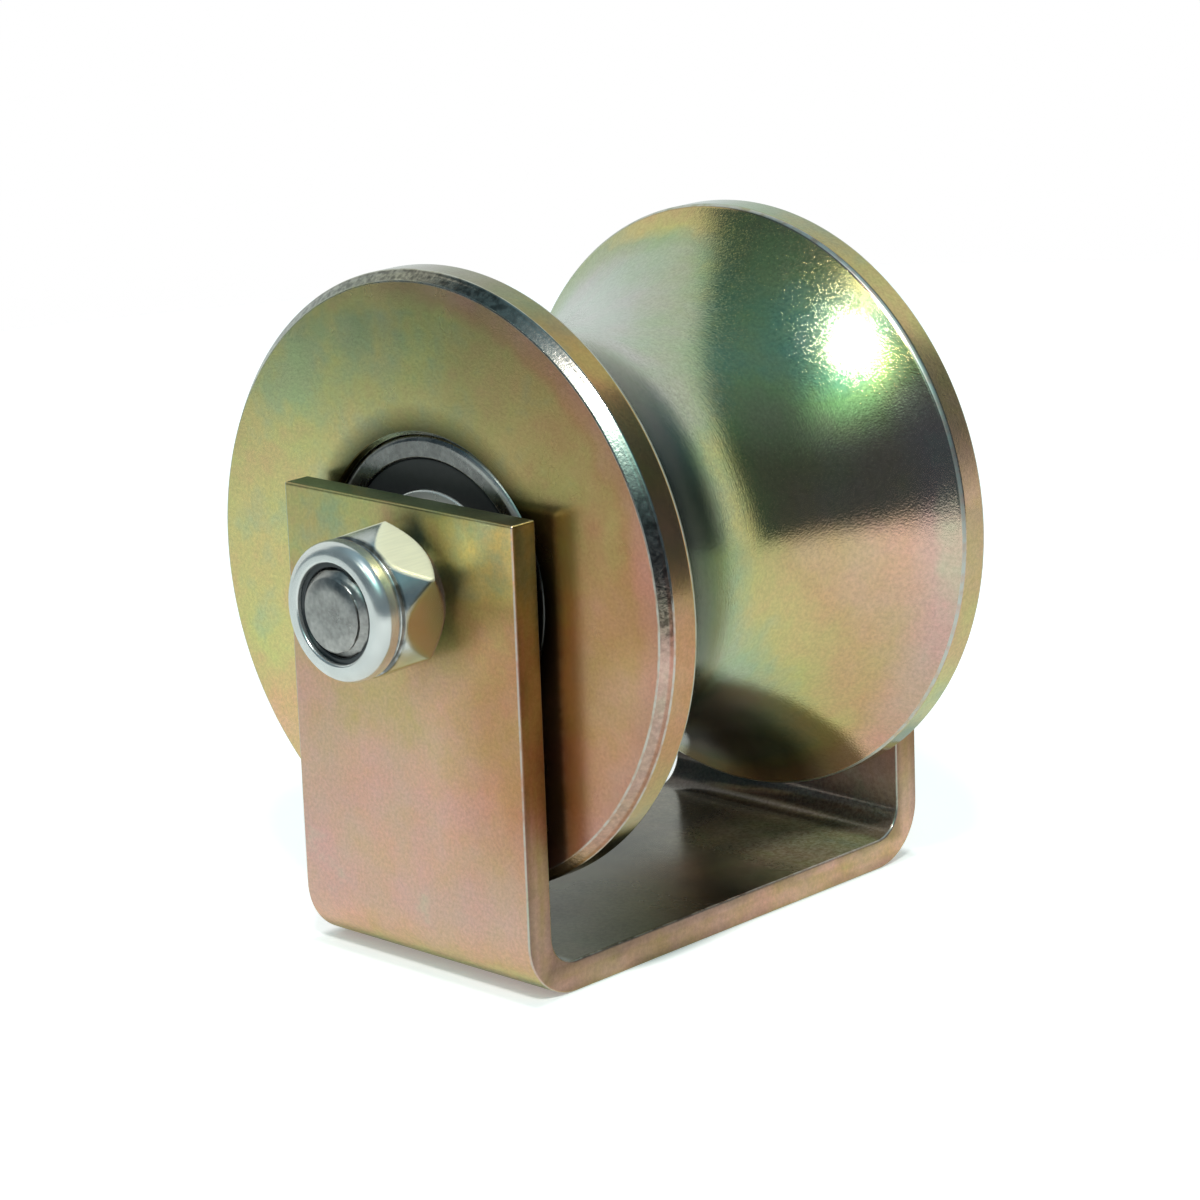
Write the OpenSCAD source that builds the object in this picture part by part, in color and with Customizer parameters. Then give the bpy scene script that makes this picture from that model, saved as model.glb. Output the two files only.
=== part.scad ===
// U-groove guide wheel on two sealed ball bearings, carried by a bolt in a bent strip bracket.
// Millimetres. +Z is up, the axle lies along Y and the nut is at -Y.
// The origin is the centre of the bracket's bottom face.

/* [Wheel] */
// Diameter over the two rims
wheel_d = 98; // [92:0.5:104]
// Width over the two flat side faces
wheel_w = 76.5; // [74:0.5:84]
// Radius of the round groove, a little over the radius of the tube that runs in it
groove_r = 40; // [38:0.5:44]
// Diameter at the bottom of the groove
waist_d = 67; // [64:0.5:70]
// Length along the axle of the chamfer at each rim
rim_chamfer_w = 1.8; // [0.5:0.1:2.5]
// Depth towards the axle of the chamfer at each rim
rim_chamfer_h = 1.6; // [0.5:0.1:3]
// Width of the broken edge where the groove meets the rim
lip_break = 0.7; // [0.2:0.1:1.2]
// Diameter of the bore between the two bearing seats
hub_bore_d = 40; // [36:0.5:43]
// How far each bearing lies below the wheel's side face
bearing_recess = 0.6; // [0:0.1:2]
// Chamfer at the mouth of each bearing seat
seat_chamfer = 0.7; // [0.2:0.1:1.5]

/* [Bearings] */
// Outside diameter of each bearing
bearing_od = 47; // [44:0.5:50]
// Bore of each bearing
bearing_bore = 20; // [18:0.5:21]
// Width of each bearing
bearing_w = 14; // [13:0.5:16]
// Diameter of the balls
ball_d = 7.94; // [7:0.02:8.2]
// Number of balls in each bearing
ball_count = 8; // [6:1:8]
// Radial distance from the ball centres' circle to the shoulders of both rings
shoulder_gap = 1.95; // [1.8:0.05:2.3]
// How much the outer ring opens beyond its shoulders at the side faces, on the radius
mouth_step = 1.2; // [0.9:0.05:1.4]
// Rounding of the rings' outside corners
ring_corner = 1; // [0.3:0.1:1.5]
// Thickness of the sheet that the cages are pressed from
cage_t = 0.6; // [0.4:0.1:0.8]
// Radial width of the cages
cage_w = 2.8; // [2.6:0.1:3]
// Diameter of the cage rivets
rivet_d = 1.4; // [1:0.1:1.5]
// Thickness of the rubber seals
seal_t = 1.3; // [1:0.1:1.5]
// How far each seal lies below the ring's side face
seal_set_in = 0.35; // [0.1:0.05:0.6]

/* [Bracket] */
// Width of the strip that the bracket is bent from
strip_w = 50; // [40:1:60]
// Thickness of the strip
strip_t = 5; // [4:0.25:6]
// Inside radius of the two bends
bend_r = 5; // [3:0.5:7]
// Height of the ears above the surface that the bracket stands on
bracket_h = 76; // [74:0.5:90]
// Height of the axle above the same surface
axle_h = 61.6; // [60:0.1:64]
// Gap between the wheel and the ear on the nut's side
gap_near = 2.1; // [1.5:0.1:5]
// Gap between the wheel and the ear on the bolt head's side
gap_far = 4.4; // [1.5:0.1:6]
// Diameter of the bolt hole in each ear
ear_hole_d = 14.5; // [14.2:0.1:16]
// Bevel that is left on all edges of the sheared strip
strip_bevel = 0.5; // [0.2:0.1:1]

/* [Bolt and nut] */
// Diameter of the bolt
bolt_d = 14; // [12:0.5:14.2]
// Width of the bolt's head across its flats
head_af = 22; // [20:0.5:24]
// Height of the bolt's head
head_h = 8.8; // [7:0.1:10]
// Thickness of the round washer face under the head
washer_face_h = 0.5; // [0.2:0.1:0.8]
// How far the bolt's end stands out of the nut
bolt_proud = 0.4; // [0:0.1:4]
// Chamfer at the bolt's end
bolt_chamfer = 1.3; // [0.5:0.1:2]
// Width of the nut across its flats
nut_af = 22; // [21:0.5:24]
// Height of the nut with its collar
nut_h = 14; // [13:0.5:16]
// Height of the nut's hexagon
nut_hex_h = 9.2; // [8.5:0.1:10]
// Height at which the nut's hexagon has its full corners
nut_peak_h = 3.6; // [3:0.1:4.5]
// Outside diameter of the crimped collar
collar_d = 22; // [20.5:0.1:22.4]
// Rounding of the collar's front edge
collar_round = 2; // [0.5:0.1:2.2]
// Opening in the collar, where the nylon ring shows
collar_window_d = 15.8; // [15.2:0.1:17]
// Turn of the nut about the axle, in degrees
nut_turn = 23; // [0:1:59]

/* [Spacers] */
// Outside diameter of the two side spacers
spacer_d = 27; // [24:0.5:28.5]
// Outside diameter of the sleeve between the bearings
sleeve_d = 26; // [24:0.5:28.5]
// Length of the spigots that centre the inner rings
spigot_l = 5; // [3:0.5:6]

/* [Fits] */
// Radial play between the bolt and the pieces that it passes through
bolt_play = 0.1; // [0.05:0.01:0.12]
// Radial play of the inner rings on their spigots
spigot_play = 0.02; // [0.01:0.01:0.05]
// Play between the balls and their races
ball_play = 0.08; // [0.05:0.01:0.1]
// Play between the balls and the cage pockets
pocket_play = 0.15; // [0.1:0.01:0.2]
// Radial play between the seal lips and the inner ring
lip_play = 0.08; // [0.05:0.01:0.1]
// Play between the bolt and the nut, on the radius
nut_play = 0.05; // [0.03:0.01:0.1]

/* [Hidden] */
$fn = 96;
over = 0.5; // how far a cutting shape runs past the face that it cuts

wheel_r = wheel_d / 2;
groove_centre_r = waist_d / 2 + groove_r;
// Where the groove's arc reaches the rims, measured along the axle from the wheel's middle
groove_half_w = sqrt(pow(groove_r, 2) - pow(groove_centre_r - wheel_r, 2));

inside_w = wheel_w + gap_near + gap_far;
outside_half = inside_w / 2 + strip_t;
bend_outer_r = bend_r + strip_t;
ear_inner_y = inside_w / 2;
wheel_y = (gap_near - gap_far) / 2;

near_bearing_y = wheel_y - wheel_w / 2 + bearing_recess;
far_bearing_y = wheel_y + wheel_w / 2 - bearing_recess;
near_spacer_t = near_bearing_y + ear_inner_y;
far_spacer_t = ear_inner_y - far_bearing_y;
sleeve_l = far_bearing_y - near_bearing_y - 2 * bearing_w;

// Circle that the ball centres lie on, halfway between the bore and the outside
pitch_r = (bearing_od + bearing_bore) / 4;
ball_r = ball_d / 2;
ball_step = 360 / ball_count;
// The races are a little less curved than the balls
race_r = 0.52 * ball_d;
inner_race_x = pitch_r - ball_r - ball_play + race_r;
outer_race_x = pitch_r + ball_r + ball_play - race_r;
inner_ring_r = pitch_r - shoulder_gap;
outer_shoulder_r = pitch_r + shoulder_gap;
mouth_r = outer_shoulder_r + mouth_step;

// The seal's bead sits in a groove behind the outer ring's mouth
mouth_lip = 0.35;
mouth_l = seal_set_in + mouth_lip;
bead_play = 0.05;
bead_groove_r = mouth_r + 0.4;
bead_groove_l = seal_set_in + seal_t + bead_play - mouth_l;
seal_rim_gap = 0.2;
seal_rim_w = 1.4;
seal_lip_w = 1.2;
seal_web_set_in = 0.2;
seal_web_t = 0.6 * seal_t;

cage_inner_r = pitch_r - cage_w / 2;
cage_outer_r = pitch_r + cage_w / 2;
pocket_r = ball_r + pocket_play;
rivet_head_d = 1.8 * rivet_d;
rivet_head_h = 0.35;

bolt_grip = 2 * outside_half;
bolt_l = bolt_grip + nut_h + bolt_proud;
bolt_clear_r = bolt_d / 2 + bolt_play;

// The head's outer end is turned to a cone of this angle, which starts inside its flats
head_cone = 30;
head_corner_r = head_af / sqrt(3);
head_face_r = head_af / 2 - 0.5;
head_cone_h = (head_corner_r - head_face_r) * tan(head_cone);
washer_face_r = head_af / 2 - 0.6;

// The nut's hexagon is turned down towards both ends, which rounds off its corners
nut_corner_r = nut_af / sqrt(3);
nut_seat_r = nut_af / 2 - 0.85;
nut_front_r = nut_af / 2 - 0.06;
neck_r = collar_d / 2 - 0.7;
neck_l = 1.1;
// The nylon ring fills the pocket behind the collar's lip
collar_wall = 1.5;
insert_r = collar_d / 2 - collar_wall;
lip_t = 0.9;
insert_l = nut_h - nut_hex_h - lip_t;
window_round = 0.4;

// Places a shape that is drawn along Z so that it points along +Y from the given place on the axle
module along_axle(y) {
    translate([0, y, axle_h]) rotate([-90, 0, 0]) children();
}

// The same, pointing along -Y
module against_axle(y) {
    translate([0, y, axle_h]) rotate([90, 0, 0]) children();
}

// Places a bearing's piece, whose front face is at z = 0, in the seat on the nut's side
module in_near_seat() {
    along_axle(near_bearing_y) children();
}

// Places a bearing's piece in the seat on the bolt head's side
module in_far_seat() {
    against_axle(far_bearing_y) children();
}

// A quarter-round notch that rounds an outside corner at the origin when it is taken away.
// The metal lies at +X and +Y of the corner.
module corner_notch(r) {
    difference() {
        translate([-over, -over]) square(r + over);
        translate([r, r]) circle(r);
        translate([r, -2 * over]) square([r, r + 2 * over]);
        translate([-2 * over, r]) square([r + 2 * over, r]);
    }
}

// A hexagonal prism, given across its flats
module hexagon(af, h) {
    cylinder(r = af / sqrt(3), h = h, $fn = 6);
}

// Cross-section of the strip, with a bevel on each of its four edges
module strip_section() {
    b = strip_bevel;
    polygon([
        [b, 0], [strip_t - b, 0], [strip_t, b], [strip_t, strip_w - b],
        [strip_t - b, strip_w], [b, strip_w], [0, strip_w - b], [0, b]
    ]);
}

// One upright ear from the bend to its top, with the strip's thickness along +X and its width along Y
module ear() {
    h = bracket_h - bend_outer_r;
    b = strip_bevel;
    intersection() {
        linear_extrude(h) strip_section();
        rotate([90, 0, 0]) translate([0, 0, -strip_w]) linear_extrude(strip_w)
            polygon([[0, 0], [strip_t, 0], [strip_t, h - b], [strip_t - b, h], [b, h], [0, h - b]]);
        rotate([90, 0, 90]) linear_extrude(strip_t)
            polygon([[0, 0], [strip_w, 0], [strip_w, h - b], [strip_w - b, h], [b, h], [0, h - b]]);
    }
}

// Half of the bracket: one ear, its bend and half of the base, standing at -Y
module bracket_half() {
    translate([strip_w / 2, -outside_half, bend_outer_r]) rotate([0, 0, 90]) ear();
    translate([-strip_w / 2, bend_outer_r - outside_half, bend_outer_r])
        rotate([90, 0, 90]) rotate([0, 0, 180]) rotate_extrude(angle = 90)
            translate([bend_r, 0]) strip_section();
    translate([-strip_w / 2, 0, 0]) rotate([90, 0, 0]) linear_extrude(outside_half - bend_outer_r)
        mirror([1, -1]) strip_section();
}

// Strip bent into a U, with a bolt hole through both ears
module bracket() {
    color([0.72, 0.62, 0.42]) difference() {
        union() {
            bracket_half();
            mirror([0, 1, 0]) bracket_half();
        }
        along_axle(-outside_half - over) cylinder(d = ear_hole_d, h = bolt_grip + 2 * over);
    }
}

// Takes the sharp corner off the groove's lip: a flat from the rim to the groove's arc
module lip_cut() {
    // Direction of the groove's surface at the lip
    slope = asin(groove_half_w / groove_r);
    on_rim = [wheel_r, groove_half_w + lip_break / 2];
    on_groove = [wheel_r - lip_break * sin(slope) / 2, groove_half_w - lip_break * cos(slope) / 2];
    out = [over, -over / 2];
    polygon([on_groove, on_rim, on_rim + out, on_groove + out]);
}

// One half of the wheel's section, from its middle to one side face: X is the radius, Y the axle
module wheel_half_section() {
    half_w = wheel_w / 2;
    seat_l = bearing_w + bearing_recess;
    difference() {
        translate([hub_bore_d / 2, 0]) square([wheel_r - hub_bore_d / 2, half_w]);
        translate([groove_centre_r, 0]) circle(groove_r);
        lip_cut();
        translate([0, half_w - seat_l]) square([bearing_od / 2, seat_l + over]);
        polygon([
            [bearing_od / 2 - over, half_w - seat_chamfer],
            [bearing_od / 2, half_w - seat_chamfer],
            [bearing_od / 2 + seat_chamfer, half_w],
            [bearing_od / 2 + seat_chamfer, half_w + over],
            [bearing_od / 2 - over, half_w + over]
        ]);
        polygon([
            [wheel_r - rim_chamfer_h, half_w],
            [wheel_r, half_w - rim_chamfer_w],
            [wheel_r + over, half_w - rim_chamfer_w],
            [wheel_r + over, half_w + over],
            [wheel_r - rim_chamfer_h, half_w + over]
        ]);
    }
}

// The turned wheel with its round groove and two bearing seats
module wheel() {
    color([0.76, 0.68, 0.45]) along_axle(wheel_y) rotate_extrude() {
        wheel_half_section();
        mirror([0, 1]) wheel_half_section();
    }
}

// The bolt's head: a hexagon with a coned outer end and a round washer face
module bolt_head() {
    intersection() {
        hexagon(head_af, head_h);
        rotate_extrude() polygon([
            [0, 0], [head_face_r, 0], [head_corner_r, head_cone_h],
            [head_corner_r, head_h - washer_face_h], [washer_face_r, head_h - washer_face_h],
            [washer_face_r, head_h], [0, head_h]
        ]);
    }
}

// The bolt, with its head on the far ear and its end just past the nut
module bolt() {
    color([0.62, 0.63, 0.64]) against_axle(outside_half) {
        translate([0, 0, -head_h]) bolt_head();
        rotate_extrude() polygon([
            [0, 0], [bolt_d / 2, 0], [bolt_d / 2, bolt_l - bolt_chamfer],
            [bolt_d / 2 - bolt_chamfer, bolt_l], [0, bolt_l]
        ]);
    }
}

// Half of the nut's section, as it is turned: X is the radius, Y the height over the ear
module nut_outline() {
    polygon([
        [0, 0], [nut_seat_r, 0], [nut_corner_r, nut_peak_h],
        [nut_front_r, nut_hex_h], [0, nut_hex_h]
    ]);
    square([neck_r, nut_hex_h + neck_l]);
    difference() {
        translate([0, nut_hex_h + neck_l]) square([collar_d / 2, nut_h - nut_hex_h - neck_l]);
        translate([collar_d / 2, nut_h]) rotate(180) corner_notch(collar_round);
    }
}

// Half of the section of the hole through the nut: the bolt's bore, the nylon ring's pocket
// and the window in the crimped lip, which has a rounded rim
module nut_hole() {
    window_r = collar_window_d / 2;
    translate([0, -over]) square([bolt_d / 2 + nut_play, nut_h]);
    translate([0, nut_hex_h]) square([insert_r, insert_l]);
    translate([0, nut_hex_h]) square([window_r, nut_h - nut_hex_h + over]);
    translate([window_r, nut_h]) mirror([0, 1]) corner_notch(window_round);
}

// The lock nut: a hexagon with heavily rounded corners and a collar crimped over the nylon ring
module nut_body() {
    color([0.75, 0.76, 0.78]) against_axle(-outside_half) rotate([0, 0, nut_turn]) intersection() {
        rotate_extrude() difference() {
            nut_outline();
            nut_hole();
        }
        union() {
            hexagon(nut_af, nut_hex_h);
            translate([0, 0, nut_hex_h]) cylinder(d = collar_d + 1, h = nut_h);
        }
    }
}

// The nylon ring that grips the bolt's thread
module nut_insert() {
    color([0.08, 0.08, 0.09]) against_axle(-outside_half - nut_hex_h) difference() {
        cylinder(r = insert_r, h = insert_l);
        translate([0, 0, -over]) cylinder(d = bolt_d, h = insert_l + 2 * over);
    }
}

// A spacer between an ear and an inner ring, with a spigot that enters the ring's bore
module side_spacer(t) {
    difference() {
        union() {
            cylinder(d = spacer_d, h = t);
            cylinder(r = bearing_bore / 2 - spigot_play, h = t + spigot_l);
        }
        translate([0, 0, -over]) cylinder(r = bolt_clear_r, h = t + spigot_l + 2 * over);
    }
}

// Spacer on the nut's side
module near_spacer() {
    color([0.5, 0.5, 0.52]) along_axle(-ear_inner_y) side_spacer(near_spacer_t);
}

// Spacer on the bolt head's side
module far_spacer() {
    color([0.5, 0.5, 0.52]) against_axle(ear_inner_y) side_spacer(far_spacer_t);
}

// The sleeve that keeps the two inner rings apart
module inner_sleeve() {
    color([0.5, 0.5, 0.52]) along_axle(near_bearing_y + bearing_w) difference() {
        union() {
            cylinder(d = sleeve_d, h = sleeve_l);
            translate([0, 0, -spigot_l])
                cylinder(r = bearing_bore / 2 - spigot_play, h = sleeve_l + 2 * spigot_l);
        }
        translate([0, 0, -spigot_l - over])
            cylinder(r = bolt_clear_r, h = sleeve_l + 2 * spigot_l + 2 * over);
    }
}

// Outer ring of a bearing, with its race and a groove for each seal
module outer_ring() {
    ring_r = bearing_od / 2;
    rotate_extrude() difference() {
        translate([outer_shoulder_r, 0]) square([ring_r - outer_shoulder_r, bearing_w]);
        translate([outer_race_x, bearing_w / 2]) circle(race_r);
        translate([ring_r, 0]) mirror([1, 0]) corner_notch(ring_corner);
        translate([ring_r, bearing_w]) rotate(180) corner_notch(ring_corner);
        for (end = [0, 1]) translate([0, end * bearing_w]) mirror([0, end]) {
            translate([0, -over]) square([mouth_r, mouth_l + over]);
            translate([0, mouth_l]) square([bead_groove_r, bead_groove_l]);
        }
    }
}

// Inner ring of a bearing, with its race
module inner_ring() {
    bore_r = bearing_bore / 2;
    bore_corner = 0.6 * ring_corner;
    shoulder_corner = 0.3 * ring_corner;
    rotate_extrude() difference() {
        translate([bore_r, 0]) square([inner_ring_r - bore_r, bearing_w]);
        translate([inner_race_x, bearing_w / 2]) circle(race_r);
        translate([bore_r, 0]) corner_notch(bore_corner);
        translate([bore_r, bearing_w]) mirror([0, 1]) corner_notch(bore_corner);
        translate([inner_ring_r, 0]) mirror([1, 0]) corner_notch(shoulder_corner);
        translate([inner_ring_r, bearing_w]) rotate(180) corner_notch(shoulder_corner);
    }
}

// The balls of a bearing
module balls() {
    for (i = [0 : ball_count - 1]) rotate([0, 0, i * ball_step])
        translate([pitch_r, 0, bearing_w / 2]) sphere(d = ball_d);
}

// One half of a pressed ribbon cage: a flat ring that swells into a half pocket over each ball.
// It lies on z = 0 and its pockets rise along +Z.
module cage_half() {
    difference() {
        intersection() {
            difference() {
                cylinder(r = cage_outer_r, h = pocket_r + 2 * cage_t);
                translate([0, 0, -over]) cylinder(r = cage_inner_r, h = pocket_r + 2 * cage_t + 2 * over);
            }
            union() {
                cylinder(r = cage_outer_r + over, h = cage_t);
                for (i = [0 : ball_count - 1]) rotate([0, 0, i * ball_step])
                    translate([pitch_r, 0, 0]) sphere(r = pocket_r + cage_t);
            }
        }
        for (i = [0 : ball_count - 1]) rotate([0, 0, i * ball_step]) {
            translate([pitch_r, 0, 0]) sphere(r = pocket_r);
            rotate([0, 0, ball_step / 2]) translate([pitch_r, 0, -over])
                cylinder(d = rivet_d, h = cage_t + 2 * over);
        }
    }
}

// The half cage that faces the front seal
module cage_front() {
    translate([0, 0, bearing_w / 2]) mirror([0, 0, 1]) cage_half();
}

// The half cage that faces the back seal
module cage_back() {
    translate([0, 0, bearing_w / 2]) cage_half();
}

// The rivets that hold the two halves together, one between each pair of balls
module cage_rivets() {
    grip = cage_t + rivet_head_h;
    for (i = [0 : ball_count - 1]) rotate([0, 0, (i + 0.5) * ball_step])
        translate([pitch_r, 0, bearing_w / 2]) {
            translate([0, 0, -grip]) cylinder(d = rivet_d, h = 2 * grip);
            translate([0, 0, cage_t]) cylinder(d = rivet_head_d, h = rivet_head_h);
            translate([0, 0, -grip]) cylinder(d = rivet_head_d, h = rivet_head_h);
        }
}

// A rubber seal: a lip on the inner ring, a thin web, a thick rim, and a bead under the rim
// that snaps into the outer ring's groove
module seal() {
    lip_r = inner_ring_r + lip_play;
    rim_r = mouth_r - seal_rim_gap;
    bead_l = bead_groove_l - bead_play;
    rotate_extrude() translate([0, seal_set_in]) {
        translate([lip_r, 0]) square([seal_lip_w, seal_t]);
        translate([lip_r, seal_web_set_in]) square([rim_r - lip_r, seal_web_t]);
        translate([rim_r - seal_rim_w, 0]) square([seal_rim_w, seal_t]);
        translate([outer_shoulder_r, seal_t - bead_l])
            square([bead_groove_r - bead_play - outer_shoulder_r, bead_l]);
    }
}

// The seal at the bearing's front face
module front_seal() {
    seal();
}

// The seal at the bearing's back face
module back_seal() {
    translate([0, 0, bearing_w]) mirror([0, 0, 1]) seal();
}

// The bearing on the nut's side, piece by piece
module near_outer_ring() {
    color([0.55, 0.56, 0.58]) in_near_seat() outer_ring();
}

module near_inner_ring() {
    color([0.6, 0.61, 0.63]) in_near_seat() inner_ring();
}

module near_balls() {
    color([0.8, 0.81, 0.83]) in_near_seat() balls();
}

module near_cage_front() {
    color([0.65, 0.66, 0.68]) in_near_seat() cage_front();
}

module near_cage_back() {
    color([0.65, 0.66, 0.68]) in_near_seat() cage_back();
}

module near_cage_rivets() {
    color([0.7, 0.7, 0.72]) in_near_seat() cage_rivets();
}

module near_front_seal() {
    color([0.06, 0.06, 0.07]) in_near_seat() front_seal();
}

module near_back_seal() {
    color([0.06, 0.06, 0.07]) in_near_seat() back_seal();
}

// The bearing on the bolt head's side, piece by piece
module far_outer_ring() {
    color([0.55, 0.56, 0.58]) in_far_seat() outer_ring();
}

module far_inner_ring() {
    color([0.6, 0.61, 0.63]) in_far_seat() inner_ring();
}

module far_balls() {
    color([0.8, 0.81, 0.83]) in_far_seat() balls();
}

module far_cage_front() {
    color([0.65, 0.66, 0.68]) in_far_seat() cage_front();
}

module far_cage_back() {
    color([0.65, 0.66, 0.68]) in_far_seat() cage_back();
}

module far_cage_rivets() {
    color([0.7, 0.7, 0.72]) in_far_seat() cage_rivets();
}

module far_front_seal() {
    color([0.06, 0.06, 0.07]) in_far_seat() front_seal();
}

module far_back_seal() {
    color([0.06, 0.06, 0.07]) in_far_seat() back_seal();
}

bracket();
wheel();
bolt();
nut_body();
nut_insert();
near_spacer();
far_spacer();
inner_sleeve();
near_outer_ring();
near_inner_ring();
near_balls();
near_cage_front();
near_cage_back();
near_cage_rivets();
near_front_seal();
near_back_seal();
far_outer_ring();
far_inner_ring();
far_balls();
far_cage_front();
far_cage_back();
far_cage_rivets();
far_front_seal();
far_back_seal();
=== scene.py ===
"""A u-groove guide wheel on sealed ball bearings, in a bracket bent from strip.

The pieces are surfaces of revolution and swept sections that numpy works out, in metres, in the frame's
own axes: the axle lies along Y, the nut is at -Y and +Z is up.
"""

import math

import bmesh
import bpy
import numpy as np
from bpy.props import FloatProperty, FloatVectorProperty, IntProperty, PointerProperty
from mathutils import Matrix, Vector


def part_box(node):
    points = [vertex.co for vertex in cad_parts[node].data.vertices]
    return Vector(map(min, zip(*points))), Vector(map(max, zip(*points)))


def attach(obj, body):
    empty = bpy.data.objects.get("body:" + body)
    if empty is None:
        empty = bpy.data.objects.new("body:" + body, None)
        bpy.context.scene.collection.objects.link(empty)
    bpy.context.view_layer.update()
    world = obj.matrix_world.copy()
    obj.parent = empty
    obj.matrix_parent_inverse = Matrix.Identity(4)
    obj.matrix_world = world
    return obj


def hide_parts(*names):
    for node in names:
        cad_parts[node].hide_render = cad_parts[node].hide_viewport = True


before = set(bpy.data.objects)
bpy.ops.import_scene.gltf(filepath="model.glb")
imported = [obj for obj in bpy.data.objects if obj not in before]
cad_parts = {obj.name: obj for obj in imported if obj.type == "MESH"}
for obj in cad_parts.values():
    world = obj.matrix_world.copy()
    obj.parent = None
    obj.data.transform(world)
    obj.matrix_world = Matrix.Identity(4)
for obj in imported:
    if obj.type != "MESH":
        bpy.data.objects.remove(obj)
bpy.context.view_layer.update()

bl_info = {
    "name": "U-groove guide wheel",
    "version": (1, 0, 0),
    "blender": (4, 5, 0),
    "location": "3D View > Sidebar > Guide Wheel",
    "description": "Builds a plated guide wheel with its bearings, bolt, nut and bracket",
    "category": "Add Mesh",
}

MM = 0.001

# Segments around the turned pieces, and the angles past which their edges stay sharp
RING_AROUND = 192
SMALL_AROUND = 128
HOLE_AROUND = 96
HEXAGON_CREASE = math.radians(50)
STRIP_CREASE = math.radians(35)

# Distance of the extra row beside a bend or an end of the strip, which keeps the flats flat when shaded
SUPPORT = 0.1 * MM

# Places and sizes that the frame gives
WHEEL_LOW, WHEEL_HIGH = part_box("wheel")
BRACKET_LOW, BRACKET_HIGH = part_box("bracket")
NEAR_RING_LOW, NEAR_RING_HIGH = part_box("near_outer_ring")
FAR_RING_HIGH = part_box("far_outer_ring")[1]
NEAR_SPACER_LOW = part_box("near_spacer")[0]
FAR_SPACER_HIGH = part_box("far_spacer")[1]
NUT_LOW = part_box("nut_body")[0]
BOLT_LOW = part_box("bolt")[0]

AXLE_Z = (NEAR_RING_LOW.z + NEAR_RING_HIGH.z) / 2
WHEEL_Y = (WHEEL_LOW.y + WHEEL_HIGH.y) / 2
WHEEL_W = WHEEL_HIGH.y - WHEEL_LOW.y
WHEEL_R = (WHEEL_HIGH.x - WHEEL_LOW.x) / 2
BEARING_R = (NEAR_RING_HIGH.x - NEAR_RING_LOW.x) / 2
BEARING_W = NEAR_RING_HIGH.y - NEAR_RING_LOW.y
BEARING_RECESS = NEAR_RING_LOW.y - WHEEL_LOW.y
EAR_FAR = BRACKET_HIGH.y
EAR_NEAR = BRACKET_LOW.y
STRIP_X = BRACKET_HIGH.x
STRIP_Z = BRACKET_HIGH.z


def length(name, description, value, low=0, high=500):
    """A size property in metres, given here in millimetres."""
    return FloatProperty(
        name=name, description=description, default=value * MM, min=low * MM, max=high * MM,
        unit="LENGTH", precision=5,
    )


def rotation(name, description, value):
    """An angle property, given here in degrees."""
    return FloatProperty(name=name, description=description, default=math.radians(value), unit="ROTATION")


def number(name, description, value, low=0, high=20):
    """A property that is a plain number."""
    return FloatProperty(name=name, description=description, default=value, min=low, max=high)


def colour(name, description, value):
    """A colour property in linear light."""
    return FloatVectorProperty(
        name=name, description=description, default=value, subtype="COLOR", size=3, min=0.0, max=1.0,
    )


class GuideWheelSizes(bpy.types.PropertyGroup):
    """Sizes of the turned wheel."""

    groove_r: length("Groove radius", "Radius of the round groove", 40, 30, 60)
    waist_r: length("Waist radius", "Radius of the wheel at the bottom of its groove", 33.5, 25, 45)
    chamfer_w: length("Chamfer width", "Length of the rim's chamfer along the axle", 1.8, 0.2, 4)
    chamfer_h: length("Chamfer height", "Depth of the rim's chamfer towards the axle", 1.6, 0.2, 4)
    lip_break: length("Lip break", "Width of the broken edge between groove and rim", 0.7, 0.1, 2)
    hub_r: length("Hub bore radius", "Radius of the bore between the bearing seats", 20, 15, 22)
    seat_chamfer: length("Seat chamfer", "Chamfer at the mouth of each bearing seat", 0.7, 0.1, 2)
    edge_round: length("Edge rounding", "Radius of the turned edges", 0.28, 0.02, 1)
    around: IntProperty(
        name="Segments", description="Number of segments around the wheel", default=288, min=32, max=512,
    )


class BracketSizes(bpy.types.PropertyGroup):
    """Sizes of the bent strip."""

    strip_t: length("Strip thickness", "Thickness of the strip", 5, 2, 10)
    bend_r: length("Bend radius", "Inside radius of the bends", 5, 1, 15)
    hole_r: length("Hole radius", "Radius of the bolt hole in each ear", 7.25, 5, 9)
    edge_round: length("Edge rounding", "Radius of the sheared edges", 0.4, 0.05, 2)


class BearingSizes(bpy.types.PropertyGroup):
    """Sizes of the two sealed bearings."""

    bore_r: length("Bore radius", "Radius of the bearing's bore", 10, 5, 15)
    shoulder_gap: length("Shoulder gap", "Radial distance from the ball centres to the shoulders", 1.95, 1, 3)
    mouth_step: length("Mouth step", "How much the outer ring opens at its faces, on the radius", 1.2, 0.5, 2)
    mouth_l: length("Mouth length", "Depth of the outer ring's mouth before the seal's groove", 0.7, 0.2, 1.5)
    corner: length("Ring corner", "Rounding of the rings' outer corners", 1.0, 0.1, 2)
    ball_r: length("Ball radius", "Radius of the balls", 3.97, 3, 5)
    ball_gap: length("Ball gap", "Clearance between a ball and its races", 0.08, 0.01, 0.2)
    seal_t: length("Seal thickness", "Thickness of the rubber seals", 1.3, 0.5, 2)
    seal_set_in: length("Seal set-in", "How far the seals lie below the side face", 0.35, 0, 1)


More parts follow.
